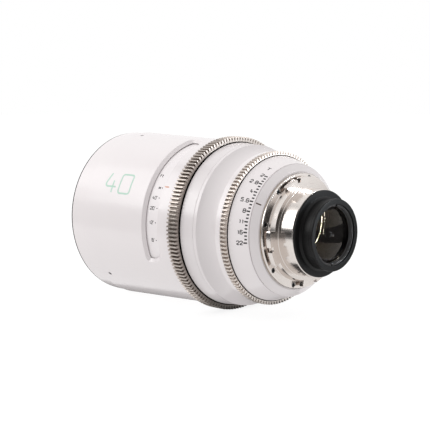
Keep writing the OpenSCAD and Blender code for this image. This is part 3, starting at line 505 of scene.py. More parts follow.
turned_piece("cove_housing", cove_outline(), material=band_paint)

# %% [markdown]
# ## Barrel with the scale window
# The window over the focus scale has a sloped front edge and rounded ends. It is cut by one lofted
# solid: loops of the same point count, each wider than the one below, so the slope and the rounded lip
# come out of the cut itself. The holes for the set screws are cut in the same step.

# %% Window cutter
WINDOW = {"floor": -89.6, "rear": -77.4, "centre": -87.4, "from": 12.0, "to": 113.0, "corner": 11.0}


def window_loop(height, spare, radius_at):
    """Closed loop of the window at a height above the bore, widened by a spare margin."""
    middle, reach = WINDOW["centre"], WINDOW["corner"] + height + spare
    front, rear = WINDOW["floor"] - height - spare, WINDOW["rear"] + spare
    per_mm = math.degrees(1 / DRUM_R)
    low_end = WINDOW["to"] - WINDOW["corner"] * per_mm
    high_end = WINDOW["from"] + WINDOW["corner"] * per_mm
    to_front = math.acos(max(-1.0, (front - middle) / reach))
    to_rear = math.acos((rear - middle) / reach)

    def side(stop, first_end, first_sign, last_end, last_sign):
        """From the tip of one end along a straight edge to the tip of the other end."""
        turns = np.linspace(math.pi / 2, stop, 13)
        near = [(middle + reach * math.cos(t), first_end + first_sign * per_mm * reach * math.sin(t))
                for t in turns]
        far = [(middle + reach * math.cos(t), last_end + last_sign * per_mm * reach * math.sin(t))
               for t in turns[::-1]]
        straight = np.linspace(near[-1], far[0], 74)[1:-1]
        return near + [tuple(point) for point in straight] + far[:-1]

    flat = np.array(side(to_front, low_end, 1, high_end, -1) + side(to_rear, high_end, -1, low_end, 1))
    for _ in range(5):
        flat = (np.roll(flat, 1, 0) + flat + np.roll(flat, -1, 0)) / 3
    return [on_lens(x, angle, radius_at(x)) for x, angle in flat]


def lofted(build, loops):
    """Closed skin through loops of equal, even count; strips across the loop close both ends."""
    rows = [[build.verts.new(point) for point in loop] for loop in loops]
    for low, high in zip(rows, rows[1:]):
        for i in range(len(low)):
            build.faces.new((low[i - 1], low[i], high[i], high[i - 1]))
    half = len(rows[0]) // 2
    for row in (rows[0], rows[-1]):
        build.faces.new((row[-1], row[0], row[1]))
        for i in range(1, half - 1):
            build.faces.new((row[-i], row[i], row[i + 1], row[-i - 1]))
        build.faces.new((row[half - 1], row[half], row[half + 1]))


def barrel_bore(x):
    """Radius of the barrel's bore, the same all along."""
    return BARREL_BORE_R


# Height above the bore, spare margin, surface that the loop follows and height above that surface
WINDOW_LOOPS = [(0.35, 1.2, barrel_bore, -0.6), (0.35, 1.2, barrel_bore, 0.35), (0.35, 0, barrel_bore, 0.35),
                (1.95, 0, barrel_r, -0.28), (2.10, 0.02, barrel_r, -0.12), (2.20, 0.10, barrel_r, -0.03),
                (2.25, 0.22, barrel_r, 0.03), (2.30, 0.40, barrel_r, 2.0)]
X_SET_SCREW, SET_SCREW_ANGLES = -138.7, (132, 252, 12)


def barrel_cutter(build):
    """The window and the three set screw holes as one cutter."""
    lofted(build, [window_loop(height, spare, lambda x: surface(x) + above)
                   for height, spare, surface, above in WINDOW_LOOPS])
    around = [math.radians(t) for t in range(0, 360, 10)]
    hole = ((BARREL_BORE_R - 1, 1.33), (55.95, 1.33), (56.08, 1.36), (56.19, 1.5), (58, 1.6))
    for angle in SET_SCREW_ANGLES:
        lofted(build, [[on_lens(X_SET_SCREW + wide * math.cos(t),
                                angle + math.degrees(wide * math.sin(t) / 56), r) for t in around]
                       for r, wide in hole])


def filled_mesh(name, fill):
    """Mesh from a function that fills a bmesh with closed shells."""
    build = bmesh.new()
    fill(build)
    bmesh.ops.recalc_face_normals(build, faces=build.faces)
    mesh = bpy.data.meshes.new(name)
    build.to_mesh(mesh)
    build.free()
    return mesh


def cut(piece, fill, operation="DIFFERENCE"):
    """An exact boolean with the shells that a function fills in, made part of the piece's mesh."""
    cutter = linked("cutter", filled_mesh("cutter", fill))
    step = piece.modifiers.new("cut", "BOOLEAN")
    step.operation = operation
    step.solver = "EXACT"
    step.object = cutter
    settle(piece)
    bpy.data.objects.remove(cutter)
    for polygon in piece.data.polygons:
        polygon.use_smooth = True


barrel = turned_blank("front_barrel_turned", [
    (52.08, -67.1, 0.05), (53.38, -67.1, 0.15), (53.78, -67.5, 0.3), (56.48, -148.2, 0.3),
    (56.08, -148.6, 0.15), (51.73, -148.6, 0.05), (51.73, -146.7, 0.02), (52.08, -146.7, 0.02)])
cut(barrel, barrel_cutter)
smooth_broad_faces(barrel, 12)
dress(barrel, "housing", white_paint, "white_paint", "front_barrel")

# %% [markdown]
# ## Black front rim
# The front ends in a black ring with a screw thread for filters. The thread is a row of fine grooves in
# the profile itself, because light along a thread is what makes a filter ring look like one.

# %% Filter ring with its thread
def threaded_bore(r, x_from, x_to, pitch, depth):
    """Saw-tooth grooves along a bore."""
    count = int((x_to - x_from) / pitch)
    points = []
    for k in range(count):
        start = x_from + k * pitch
        points += [(r, start, 0), (r, start + 0.25 * pitch, 0), (r + depth, start + 0.6 * pitch, 0)]
    return points


turned_piece("filter_ring", [
    (47.5, -161.85, 0.1), (55.65, -161.85, 0.1), (55.9, -161.6, 0.08), (55.9, -161.07, 0.02),
    (55.5, -161.05, 0.0), (50.47, -161.05, 0.03),
    (50.47, -157.85, 0.03), *threaded_bore(47.5, -161.2, -157.9, 0.5, 0.3)[::-1]])
turned_piece("front_retainer", [
    (43.5, -156.5, 0.15), (46.5, -156.5, 0.1), (46.5, -153.0, 0.05), (44.5, -153.0, 0.05)])

# %% [markdown]
# ## One tree that repeats a piece about the axis
# Gear teeth and screws stand in rings about the lens axis. The tree takes one copy, a count, the first
# angle and the pitch, turns the copies about X, makes them real and merges the seams between
# neighbours, so a slice of gear closes into one ring.

# %% Copies about the axis
def painted(tree, geometry, given, result):
    """The end of a tree: its geometry takes the finish that the tree is given."""
    feeds = {"Geometry": geometry, "Material": given["Finish"]}
    feed(tree, result, {"Geometry": add_node(tree, "GeometryNodeSetMaterial", feeds).outputs[0]})
    return tree


def copies_tree():
    """Geometry nodes: copies of one piece, turned about X at an even pitch."""
    tree, given, result = new_tree(
        "copies_about_the_axis", "GeometryNodeTree",
        {"Piece": "Object", "Count": "Int", "First Angle": "Float", "Pitch": "Float", "Finish": "Material"},
        {"Geometry": "Geometry"})
    line = add_node(tree, "GeometryNodeMeshLine", {"Count": given["Count"], "Offset": (0, 0, 0)})
    index = tree.nodes.new("GeometryNodeInputIndex").outputs[0]
    step = add_node(tree, "ShaderNodeMath", {0: index, 1: given["Pitch"], 2: given["First Angle"]},
                    operation="MULTIPLY_ADD")
    turn = add_node(tree, "ShaderNodeCombineXYZ", {"X": step.outputs[0]})
    spin = add_node(tree, "FunctionNodeEulerToRotation", {0: turn.outputs[0]})
    source = add_node(tree, "GeometryNodeObjectInfo", {"Object": given["Piece"]})
    place = add_node(tree, "GeometryNodeInstanceOnPoints", {
        "Points": line.outputs["Mesh"], "Instance": source.outputs["Geometry"],
        "Rotation": spin.outputs[0]})
    real = add_node(tree, "GeometryNodeRealizeInstances", {0: place.outputs[0]})
    merge = add_node(tree, "GeometryNodeMergeByDistance", {"Geometry": real.outputs[0], "Distance": 2e-6})
    return painted(tree, merge.outputs[0], given, result)


COPIES = copies_tree()


def apply_tree(piece, tree, values):
    """Runs a geometry nodes tree on a piece with inputs by name and keeps the plain mesh."""
    step = piece.modifiers.new(tree.name, "NODES")
    step.node_group = tree
    for socket in tree.interface.items_tree:
        if socket.in_out == "INPUT" and socket.name in values:
            step[socket.identifier] = values[socket.name]
    piece.update_tag()
    return settle(piece)


def around_axis(name, copy_mesh, count, first, pitch, material):
    """Copies of a mesh about the axis, angles in degrees, as one plain piece."""
    source = linked(name + "_copy", copy_mesh)
    piece = linked(name, bpy.data.meshes.new(name))
    apply_tree(piece, COPIES, {"Piece": source, "Count": count, "First Angle": math.radians(first),
                               "Pitch": math.radians(pitch), "Finish": material})
    bpy.data.objects.remove(source)
    return piece


print("tree:", COPIES.name, "with", len(COPIES.nodes), "nodes")

# %% [markdown]
# ## Gear rings
# Both gears are standard 0.8 module rings for follow-focus drives. One slice, a pitch wide, is drawn as
# a grid: across the tooth from gap to gap, and along the gear with a bevel at each end. It is open at its
# two sides, where the next copy joins on.

# %% Focus gear and aperture gear
def gear_slice(name, x_from, x_to, teeth, tip_r, rim_r, bore_r):
    """One tooth pitch of a gear ring, with attributes for the height on the tooth and for the ends painted
    black as shadow.
    """
    pitch, depth, bevel = 360 / teeth, 1.8, 0.35
    root_r = tip_r - depth
    across = [(-0.5, 0.0), (-0.37, 0.0), (-0.335, 0.08), (-0.215, 0.86), (-0.19, 0.97), (-0.155, 1.0),
              (0.155, 1.0), (0.19, 0.97), (0.215, 0.86), (0.335, 0.08), (0.37, 0.0), (0.5, 0.0)]
    stations = [(x_from, bevel), (x_from + 0.4 * bevel, 0.25 * bevel), (x_from + bevel, 0.0),
                (x_to - bevel, 0.0), (x_to - 0.4 * bevel, 0.25 * bevel), (x_to, bevel)]
    rows = [[(x, share, max(root_r - 0.1, root_r + depth * height - drop), height)
             for share, height in across] for x, drop in stations]
    below = [(x_to, rim_r), (x_to, bore_r), (x_from, bore_r), (x_from, rim_r)]
    rows += [[(x, share, r, 0.8 * (r == rim_r)) for share, _ in across] for x, r in below]
    verts = [on_lens(x, share * pitch, r) for row in rows for x, share, r, _ in row]
    heights = [height for row in rows for *_, height in row]
    wide, count = len(across), len(rows)
    faces, shadow_end_faces = [], []
    for j in range(count):
        here, there = j * wide, (j + 1) % count * wide
        # Both end faces, from the rim down to the bore, are marked for the painted shadow.
        kind = shadow_end_faces if j in (len(stations), len(stations) + 2) else faces
        kind += [(here + i, there + i, there + i + 1, here + i + 1) for i in range(wide - 1)]
    mesh = bpy.data.meshes.new(name)
    mesh.from_pydata(verts, [], faces + shadow_end_faces)
    mesh.attributes.new("tooth_height", "FLOAT", "POINT").data.foreach_set("value", heights)
    end_shadow_marks = [0.0] * len(faces) + [1.0] * len(shadow_end_faces)
    mesh.attributes.new("end_face_shadow", "FLOAT", "FACE").data.foreach_set("value", end_shadow_marks)
    return mesh


def gear(node, body, material, x_from, x_to, teeth, tip_r, rim_r, bore_r):
    """A gear ring made of slices, standing for its CAD node."""
    pitch = 360 / teeth
    slice_mesh = gear_slice(node + "_slice", x_from, x_to, teeth, tip_r, rim_r, bore_r)
    piece = around_axis(node + "_toothed", slice_mesh, teeth, 90, pitch, material)
    outward(piece.data)
    smooth_broad_faces(piece, 32)
    return dress(piece, body, material, "bronze_gear", node)


gear("focus_gear", "focus_ring", focus_champagne, -66.6, -58.7, 139, 56.4, 53.25, 49.08)
gear("iris_gear", "iris_ring", iris_champagne, -28.2, -24.0, 119, 48.4, 46.15, 43.98)

# %% [markdown]
# ## Polished mount
# The mount is one piece of hard chrome: a base ring with eight screws, a neck, four bayonet tabs with a
# notch each, and the barrel that enters the camera. The tabs are lofted, joined to the turned body and
# then notched, so the joins are real edges that reflections break at.

# %% Mount body, tabs and notches
TAB_ANGLES = [14 + 90 * k for k in range(4)]
GAP_ANGLE, SCREW_SIDES, SCREW_CIRCLE_R = 59, (-19, 19), 33.45
SCREW_ANGLES = [GAP_ANGLE + 90 * k + side for k in range(4) for side in SCREW_SIDES]


def sector_solid(build, angle, half_turn, r_in, r_out, x_from, x_to, soft):
    """Block of a ring between two angles with small bevels on its outer edges."""
    steps = 26
    loops = []
    for k in range(steps + 1):
        turn = angle - half_turn + 2 * half_turn * k / steps
        end = soft if k in (0, steps) else 0.0
        outline = [(r_in, x_from), (r_out - soft - end, x_from + end), (r_out - end, x_from + soft + end),
                   (r_out - end, x_to - soft - end), (r_out - soft - end, x_to - end), (r_in, x_to)]
        loops.append([on_lens(x, turn, r) for r, x in outline])
    lofted(build, loops)


def slot_across(build, angle, half_turn, radii, places):
    """Cutter for a slot in a ring, between two radii and two places along the axis."""
    inner, outer = radii
    corners = ((-1, inner), (1, inner), (1, outer), (-1, outer))
    lofted(build, [[on_lens(x, angle + side * half_turn, r) for side, r in corners] for x in places])


def all_tabs(build):
    """The four bayonet tabs."""
    for angle in TAB_ANGLES:
        sector_solid(build, angle, 19.5, 29.2, 34.0, -3.4, 0.0, 0.22)


def notches_and_seats(build):
    """A notch in each tab and a seat for each screw head."""
    for angle in TAB_ANGLES:
        slot_across(build, angle, math.degrees(1.5 / 33), (31.8, 35.5), (-4.2, 0.6))
    around = [math.radians(t) for t in range(0, 360, 12)]
    for angle in SCREW_ANGLES:
        centre = on_lens(0, angle, SCREW_CIRCLE_R)
        lofted(build, [[Vector((x * MM, centre.y + wide * MM * math.cos(t),
                                centre.z + wide * MM * math.sin(t))) for t in around]
                       for x, wide in ((-6.1, 1.53), (-4.95, 1.53), (-4.7, 1.75))])


mount = turned_blank("lens_mount_polished", [
    (24.03, -6.8, 0.05), (34.6, -6.8, 0.03), (34.6, -6.3, 0.03), (35.7, -6.3, 0.1), (35.7, -5.2, 0.2),
    (35.3, -4.8, 0.15), (30.8, -4.8, 0.35), (29.8, 0.0, 0.15), (27.0, 0.0, 0.3), (27.0, 10.9, 0.2),
    (26.6, 11.3, 0.12), (24.03, 11.3, 0.05)])
cut(mount, all_tabs, "UNION")
cut(mount, notches_and_seats)
smooth_broad_faces(mount, 30)
dress(mount, "housing", mount_chrome, "mount_chrome", "lens_mount")

# %% [markdown]
# ## Screws
# The mount is held by black socket screws, two in each gap between tabs, and the barrel by three small
# set screws. One screw is drawn with its hexagon socket, then the tree repeats it.

# %% Socket screws
def screw_rows(top, head_r, head_h, shank_r, length, socket_r):
    """Rows of (along, radius, sides) that describe a socket screw from tip to socket floor."""
    return [(top - length, shank_r * 0.8, 0), (top - length + 0.3, shank_r, 0), (top - head_h, shank_r, 0),
            (top - head_h, head_r, 0), (top - 0.2, head_r, 0), (top - 0.06, head_r - 0.06, 0),
            (top, head_r - 0.2, 0), (top, socket_r, 6), (top - 0.55 * head_h, socket_r * 0.97, 6)]


def screw_shell(build, rows, place):
    """Closed shell of a screw; hexagon rows take their radius from six flats."""
    around = 48
    loops = []
    for along, radius, sides in rows:
        loop = []
        for k in range(around):
            turn = 2 * math.pi * k / around
            r = radius
            if sides:
                half = math.pi / sides
                r = radius * math.cos(half) / math.cos((turn % (2 * half)) - half)
            loop.append(place(along, r * math.cos(turn), r * math.sin(turn)))
        loops.append(loop)
    lofted(build, loops)


def mount_screw_pair(build):
    """The two screws left and right of the gap at the top, heads flush with the base ring."""
    for angle in SCREW_SIDES:
        centre = on_lens(0, angle, SCREW_CIRCLE_R)
        screw_shell(build, screw_rows(-4.8, 1.5, 1.3, 1.0, 9.1, 0.82),
                    lambda a, u, v, c=centre: Vector((a * MM, c.y + u * MM, c.z + v * MM)))


def set_screw_top(build):
    """One set screw at the top of the barrel, its socket facing outwards."""
    rows = [(52.05, 1.1, 0), (52.3, 1.3, 0), (55.55, 1.3, 0), (55.72, 1.16, 0), (55.72, 0.78, 6),
            (54.92, 0.75, 6)]
    screw_shell(build, rows, lambda a, u, v: Vector(((X_SET_SCREW + u) * MM, v * MM, a * MM)))


def screws(name, fill, count, first, pitch, node):
    """A ring of screws that stands for its CAD node."""
    piece = around_axis(name, filled_mesh(name + "_one", fill), count, first, pitch, screw_steel)
    outward(piece.data)
    smooth_broad_faces(piece, 30)
    return dress(piece, "housing", screw_steel, "screw_steel", node)


screws("mount_screws_socket", mount_screw_pair, 4, GAP_ANGLE, 90, "mount_screws")
screws("set_screws_socket", set_screw_top, 3, 12, 120, "set_screws")

# %% [markdown]
# ## Rear cell
# The black rear cell enters the camera: a collar against the mount, a slim tube and a rounded end with
# the ring that holds the rear glass. The ring has two notches for a spanner, cut as in the CAD.

# %% Rear cell and its retaining ring
turned_piece("rear_cell", [
    (20.03, -18.44, 0.05), (24.0, -18.44, 0.1), (24.0, 11.3, 0.02), (26.6, 11.3, 0.15), (26.6, 12.3, 0.2),
    (26.2, 12.7, 0.15), (22.8, 12.7, 0.4), (21.6, 13.9, 0.4), (21.6, 19.94, 0.2), (22.0, 20.34, 0.25),
    (22.0, 21.54, 0.35), (21.6, 21.94, 0.35), (18.63, 21.94, 0.3), (18.63, 13.5, 0.03), (17.0, 13.5, 0.05),
    (17.0, -1.0, 0.05), (20.03, -1.0, 0.03)])


def spanner_notches(build):
    """Two slots across the ring, opposite each other."""
    for angle in (-6, 174):
        slot_across(build, angle, math.degrees(0.7 / 18), (14.6, 19.6), (19.44, 22.4))


retainer = turned_blank("rear_retainer_notched", [
    (17.0, 18.5, 0.05), (18.6, 18.5, 0.05), (18.6, 21.04, 0.25), (17.7, 21.04, 0.2)])
cut(retainer, spanner_notches)
smooth_broad_faces(retainer, 30)
dress(retainer, "housing", grey_lacquer, "black_anodised", "rear_retainer")

# %% [markdown]
# ## Printed scales
# The scales are strokes of ink on a drum, a cone and the barrel. Each figure is a skeleton of straight
# lines in a flat plane, read along the axis. A font would give figures too, but skeletons let each
# stroke keep the even width of an engraver's tool.

# %% Skeletons of the figures
BOX = [(0, 0), (1, 0), (1, 1), (0, 1), (0, 0)]
FIGURES = {
    "0": [BOX],
    "1": [[(0.2, 0.78), (0.52, 1), (0.52, 0)]],
    "2": [[(0, 0.74), (0, 1), (1, 1), (1, 0.56), (0, 0.2), (0, 0), (1, 0)]],
    "3": [[(0, 0.82), (0, 1), (1, 1), (1, 0), (0, 0), (0, 0.18)], [(0.3, 0.53), (1, 0.53)]],
    "4": [[(0.34, 1), (0, 0.3), (1, 0.3)], [(0.72, 0.62), (0.72, 0)]],
    "5": [[(1, 1), (0.06, 1), (0, 0.57), (1, 0.57), (1, 0), (0, 0), (0, 0.16)]],
    "6": [[(0.96, 0.84), (0.96, 1), (0, 1), (0, 0), (1, 0), (1, 0.56), (0, 0.56)]],
    "8": [BOX, [(0, 0.53), (1, 0.53)]],
    "T": [[(0, 1), (1, 1)], [(0.5, 1), (0.5, 0)]],
    "f": [[(0.9, 1), (0.4, 1), (0.4, 0)], [(0, 0.62), (0.85, 0.62)]],
    "t": [[(0.4, 1), (0.4, 0), (0.9, 0)], [(0, 0.66), (0.85, 0.66)]],
    "'": [[(0.1, 1.12), (0.1, 0.82)]],
    ".": [[(0.2, 0), (0.2, 0.07)]],
}
LOOP = [(0.5 + 0.62 * math.sin(t), 0.5 + 0.3 * math.sin(2 * t)) for t in np.linspace(0, 2 * math.pi, 25)]
FIGURES["oo"] = [LOOP]
NARROW = {"'": 0.3, ".": 0.45, "1": 0.72}


def figure_strokes(word, x_right, angle, high, wide, turn_radius, gap_share=0.42):
    """Strokes of a word that ends at x_right and is centred on an angle, in flat millimetres."""
    gap = gap_share * wide
    glyphs = [word] if word in FIGURES else list(word)
    widths = [wide * NARROW.get(g, 1) for g in glyphs]
    x = x_right - sum(widths) - gap * (len(glyphs) - 1)
    middle = -math.radians(angle) * turn_radius
    strokes = []
    for glyph, width in zip(glyphs, widths):
        for line in FIGURES[glyph]:
            strokes.append([(x + u * wide, middle + (v - 0.5) * high) for u, v in line])
        x += width + gap
    return strokes


def tick(x_from, x_to, angle, turn_radius):
    """One straight stroke along the axis."""
    level = -math.radians(angle) * turn_radius
    return [(x_from, level), (x_to, level)]


print("figures drawn:", len(FIGURES))

# %% [markdown]
# ## Ink on a round surface
# On the real lens the marks are engraved and filled while the ring turns under the tool. One tree does
# this turning: it rounds the corners of a skeleton, gives it the width of a stroke and the height of a
# coat of ink, and bends the plane round a cone. A texture could show the marks too, but ink made of
# geometry stays crisp from near and rides on its ring.

# %% Ink that follows a cone
def ink_tree():
    """Geometry nodes: skeleton edges to flat ribbons, bent round a cone about X."""
    sizes = ("Stroke Width", "Ink Height", "Corner Radius", "Turn Radius", "Radius At Zero", "Slope")
    tree, given, result = new_tree(
        "ink_on_a_cone", "GeometryNodeTree",
        {"Geometry": "Geometry", **dict.fromkeys(sizes, "Float"), "Finish": "Material"},
        {"Geometry": "Geometry"})
    lines = add_node(tree, "GeometryNodeMeshToCurve", {"Mesh": given["Geometry"]})
    soft = add_node(tree, "GeometryNodeFilletCurve", {
        "Curve": lines.outputs[0], "Radius": given["Corner Radius"], "Count": 4, "Limit Radius": True},
        mode="POLY")
    fine = add_node(tree, "GeometryNodeSubdivideCurve", {"Curve": soft.outputs[0], "Cuts": 2})
    upright = add_node(tree, "GeometryNodeSetCurveNormal", {"Curve": fine.outputs[0]}, mode="Z_UP")
    section = add_node(tree, "GeometryNodeCurvePrimitiveQuadrilateral", {
        "Width": given["Stroke Width"], "Height": given["Ink Height"]})
    ribbon = add_node(tree, "GeometryNodeCurveToMesh", {
        "Curve": upright.outputs[0], "Profile Curve": section.outputs[0], "Fill Caps": True})
    place = tree.nodes.new("GeometryNodeInputPosition").outputs[0]
    flat = add_node(tree, "ShaderNodeSeparateXYZ", {0: place}).outputs
    turn = math_node(tree, "DIVIDE", flat["Y"], given["Turn Radius"])
    rise = math_node(tree, "ADD", math_node(tree, "MULTIPLY", flat["X"], given["Slope"]), flat["Z"])
    radius = math_node(tree, "ADD", rise, given["Radius At Zero"])
    bent = add_node(tree, "ShaderNodeCombineXYZ", {
        "X": flat["X"], "Y": math_node(tree, "MULTIPLY", radius, math_node(tree, "SINE", turn)),
        "Z": math_node(tree, "MULTIPLY", radius, math_node(tree, "COSINE", turn))})
    wrap = add_node(tree, "GeometryNodeSetPosition", {
        "Geometry": ribbon.outputs[0], "Position": bent.outputs[0]})
    real = add_node(tree, "GeometryNodeRealizeInstances", {0: wrap.outputs[0]})
    return painted(tree, real.outputs[0], given, result)


INK = ink_tree()
INK_HEIGHT = 0.06


def inked(name, strokes, body, slot, material, width, corner, turn_radius, radius_at_zero, slope=0.0):
    """Strokes in flat millimetres, printed on a cone of that radius at x = 0 and that slope."""
    verts, edges = [], []
    for line in strokes:
        closed = len(line) > 2 and line[0] == line[-1]
        points = line[:-1] if closed else line
        first = len(verts)
        verts += [(x * MM, y * MM, 0) for x, y in points]
        edges += [(first + k, first + k + 1) for k in range(len(points) - 1)]
        if closed:
            edges.append((len(verts) - 1, first))
    mesh = bpy.data.meshes.new(name)
    mesh.from_pydata(verts, edges, [])
    piece = apply_tree(linked(name, mesh), INK, {
        "Stroke Width": width * MM, "Ink Height": INK_HEIGHT * MM, "Corner Radius": corner * MM,
        "Turn Radius": turn_radius * MM, "Radius At Zero": radius_at_zero * MM, "Slope": slope,
        "Finish": material})
    outward(piece.data)
    piece.data.set_sharp_from_angle(angle=math.radians(30))
    return dress(piece, body, material, slot)


# %% [markdown]
# ## Focus scale
# Distances stand on the drum under the window, in feet: infinity at the index, then the marks crowd
# apart as the distance gets shorter, because the turn grows with one over the distance. The marks that
# the barrel hides at rest come into the window when the ring turns.

# %% Marks on the focus drum
INFINITY_ANGLE, FEET_DEGREES = 61.6, 301.0
focus_lines, focus_dots = [], []
for feet in (None, 40, 20, 12, 8, 5, 4, 3, 2):
    angle = INFINITY_ANGLE + (FEET_DEGREES / feet if feet else 0)
    word = "oo" if feet is None else f"{feet}'"
    focus_lines += figure_strokes(word, -83.1, angle, 1.95, 1.42, DRUM_R)
    focus_dots.append(tick(-81.75, -81.05, angle, DRUM_R))
focus_lines += figure_strokes("ft", -85.2, 52.0, 1.9, 1.35, DRUM_R)
inked("focus_figures", focus_lines, "focus_ring", "scale_drum", black_ink, 0.42, 0.3, DRUM_R, DRUM_R)
inked("focus_dots", focus_dots, "focus_ring", "scale_drum", black_ink, 0.65, 0.0, DRUM_R, DRUM_R)

# %% [markdown]
# ## Aperture scale
# Eight full stops stand on the cone, an even turn apart, with two short ticks between neighbours for
# thirds of a stop. The figures are read along the axis and end before their tick.

# %% Marks on the aperture cone
CONE_SLOPE = (41.5 - 45.6) / (-10.94 + 23.6)
CONE_R0 = 45.6 + CONE_SLOPE * 23.6
CONE_TURN_R = 43.0
FIRST_STOP, STOP_TURN = 34.5, 8.7
aperture_lines, aperture_ticks = [], []
for k, stop in enumerate(("2", "2.8", "4", "5.6", "8", "11", "16", "22")):
    angle = FIRST_STOP + STOP_TURN * k
    aperture_lines += figure_strokes(stop, -14.5, angle, 2.25, 1.5, CONE_TURN_R)
    aperture_ticks.append(tick(-13.9, -11.6, angle, CONE_TURN_R))
    if stop != "22":
        aperture_ticks += [tick(-13.2, -11.6, angle + STOP_TURN * third / 3, CONE_TURN_R)
                           for third in (1, 2)]
aperture_lines += figure_strokes("T", -14.3, 25.5, 2.3, 2.0, CONE_TURN_R)
inked("aperture_figures", aperture_lines, "iris_ring", "white_paint", black_ink, 0.52, 0.4, CONE_TURN_R,
      CONE_R0, CONE_SLOPE)
inked("aperture_ticks", aperture_ticks, "iris_ring", "white_paint", black_ink, 0.95, 0.0, CONE_TURN_R,
      CONE_R0, CONE_SLOPE)

# %% [markdown]
# ## Index lines and the focal length
# An orange line on the barrel reads the focus scale and a brown one on the rear housing reads the
# aperture. The large mint figures on the barrel are a plain focal length, drawn with the same skeletons.

# %% Marks on the fixed pieces
BARREL_SLOPE = (BARREL_FRONT_R - BARREL_REAR_R) / (BARREL_FRONT - BARREL_REAR)
BARREL_R0 = BARREL_REAR_R - BARREL_SLOPE * BARREL_REAR
HOUSING_SLOPE = (36.8 - 41.1) / (-7.0 + 10.24)
HOUSING_R0 = 36.8 + HOUSING_SLOPE * 7.0
inked("focus_index", [tick(-76.9, -73.3, 61.4, 54)], "housing", "white_paint", orange_ink, 0.7, 0.0, 54,
      BARREL_R0, BARREL_SLOPE)
inked("aperture_index", [tick(-10.0, -7.9, 61.0, 39)], "housing", "white_paint", brown_ink, 0.8, 0.0, 39,
      HOUSING_R0, HOUSING_SLOPE)
inked("focal_length_figures", figure_strokes("40", -107.5, 62.6, 13.2, 10.6, 55.2, 0.32), "housing",
      "white_paint", mint_ink, 1.15, 1.8, 55.2, BARREL_R0, BARREL_SLOPE)

# %% [markdown]
# ## Stage and room
# The lens lies on a white floor under large soft lamps. The background is white to the eye and to
# reflections, while the floor still takes the shadow: its emission shows only to camera, glossy and
# transmission rays, and its diffuse part is what darkens. The room's own light is weaker at eye level
# and on the camera's side, as the dark end of a studio is.

# %% White world and floor
def seen_rays(tree):
    """1 for camera, glossy and transmission rays."""
    path = tree.nodes.new("ShaderNodeLightPath")
    direct = math_node(tree, "MAXIMUM", path.outputs["Is Camera Ray"], path.outputs["Is Glossy Ray"])
    return math_node(tree, "MAXIMUM", direct, path.outputs["Is Transmission Ray"])


LIGHT_BELOW, LIGHT_LEVEL, LIGHT_ABOVE = 1.12, 0.62, 1.07
DARK_END, DARK_END_SPAN, DARK_END_LIGHT = (0.88, -0.45, -0.15), (0.25, 0.95), (1.0, 0.66)
FLOOR_GREY, FLOOR_GLOW = 0.2, 0.86
world = bpy.data.worlds.new("white_room")
bpy.context.scene.world = world
world.use_nodes = True
sky_tree = world.node_tree
direction = sky_tree.nodes.new("ShaderNodeTexCoord").outputs["Generated"]
upward = add_node(sky_tree, "ShaderNodeSeparateXYZ", {0: direction}).outputs["Z"]
height = math_node(sky_tree, "ADD", math_node(sky_tree, "MULTIPLY", upward, 0.5), 0.5)
room = add_node(sky_tree, "ShaderNodeValToRGB", {"Fac": height})
room.color_ramp.elements.new(0.5)
room_levels = ((0.2, LIGHT_BELOW), (0.5, LIGHT_LEVEL), (0.8, LIGHT_ABOVE))
for stop, (place, level) in zip(room.color_ramp.elements, room_levels):
    stop.position = place
    stop.color = (level, level, level, 1)
towards = add_node(sky_tree, "ShaderNodeVectorMath", {0: direction, 1: DARK_END}, operation="DOT_PRODUCT")
dim = map_range(sky_tree, towards.outputs["Value"], DARK_END_SPAN, DARK_END_LIGHT)
lit = math_node(sky_tree, "MULTIPLY", room.outputs["Color"], dim)
feed(sky_tree, sky_tree.nodes["Background"], {
    "Color": (1, 1, 1), "Strength": math_node(sky_tree, "MAXIMUM", seen_rays(sky_tree), lit)})


def floor_finish():
    """White floor that keeps a soft shadow."""
    material, tree, shader = blank_finish("studio_floor")
    tree.nodes.remove(shader)
    diffuse = add_node(tree, "ShaderNodeBsdfDiffuse", {"Color": (FLOOR_GREY, FLOOR_GREY, FLOOR_GREY)})
    seen = math_node(tree, "MULTIPLY", seen_rays(tree), FLOOR_GLOW)
    glow = add_node(tree, "ShaderNodeEmission", {"Strength": seen})
    both = add_node(tree, "ShaderNodeAddShader", {0: diffuse.outputs[0], 1: glow.outputs[0]})
    feed(tree, tree.nodes["Material Output"], {"Surface": both.outputs[0]})
    return material


def card(name, centre, size, facing, material):
    """Flat rectangle that faces a point."""
    mesh = bpy.data.meshes.new(name)
    w, h = size[0] / 2, size[1] / 2
    turn = (Vector(facing) - Vector(centre)).to_track_quat("Z", "Y").to_matrix().to_4x4()
    corners = [Vector((-w, -h, 0)), Vector((w, -h, 0)), Vector((w, h, 0)), Vector((-w, h, 0))]
    place = Matrix.Translation(Vector(centre)) @ turn
    mesh.from_pydata([place @ c for c in corners], [], [(0, 1, 2, 3)])
    made = linked(name, mesh)
    mesh.materials.append(material)
    return made


FLOOR_Z = -0.0568
floor = card("studio_floor", (0, 0, FLOOR_Z), (8, 8), (0, 0, 1), floor_finish())
floor.visible_diffuse = False

print("floor at", FLOOR_Z, "m, room light", LIGHT_BELOW, LIGHT_LEVEL, LIGHT_ABOVE)

# %% [markdown]
# ## Dark cards
# Polished metal shows what stands round it, so in an all-white room chrome looks like paper. A studio
# hangs black cards just outside the picture. These are seen only in reflections: the camera doesn't see
# them and they cast no shadow, so each can stand where its dark band is wanted. The card under the lens
# is a painted shadow: it darkens the floor in reflections where the lens shades it.

# %% Dark cards
def flag_finish(name, tone):
    """Plain dull card of one slightly warm grey."""
    material, tree, shader = blank_finish(name)
    feed(tree, shader, {"Base Color": (tone, tone * 0.95, tone * 0.94), "Roughness": 0.9})
    return material


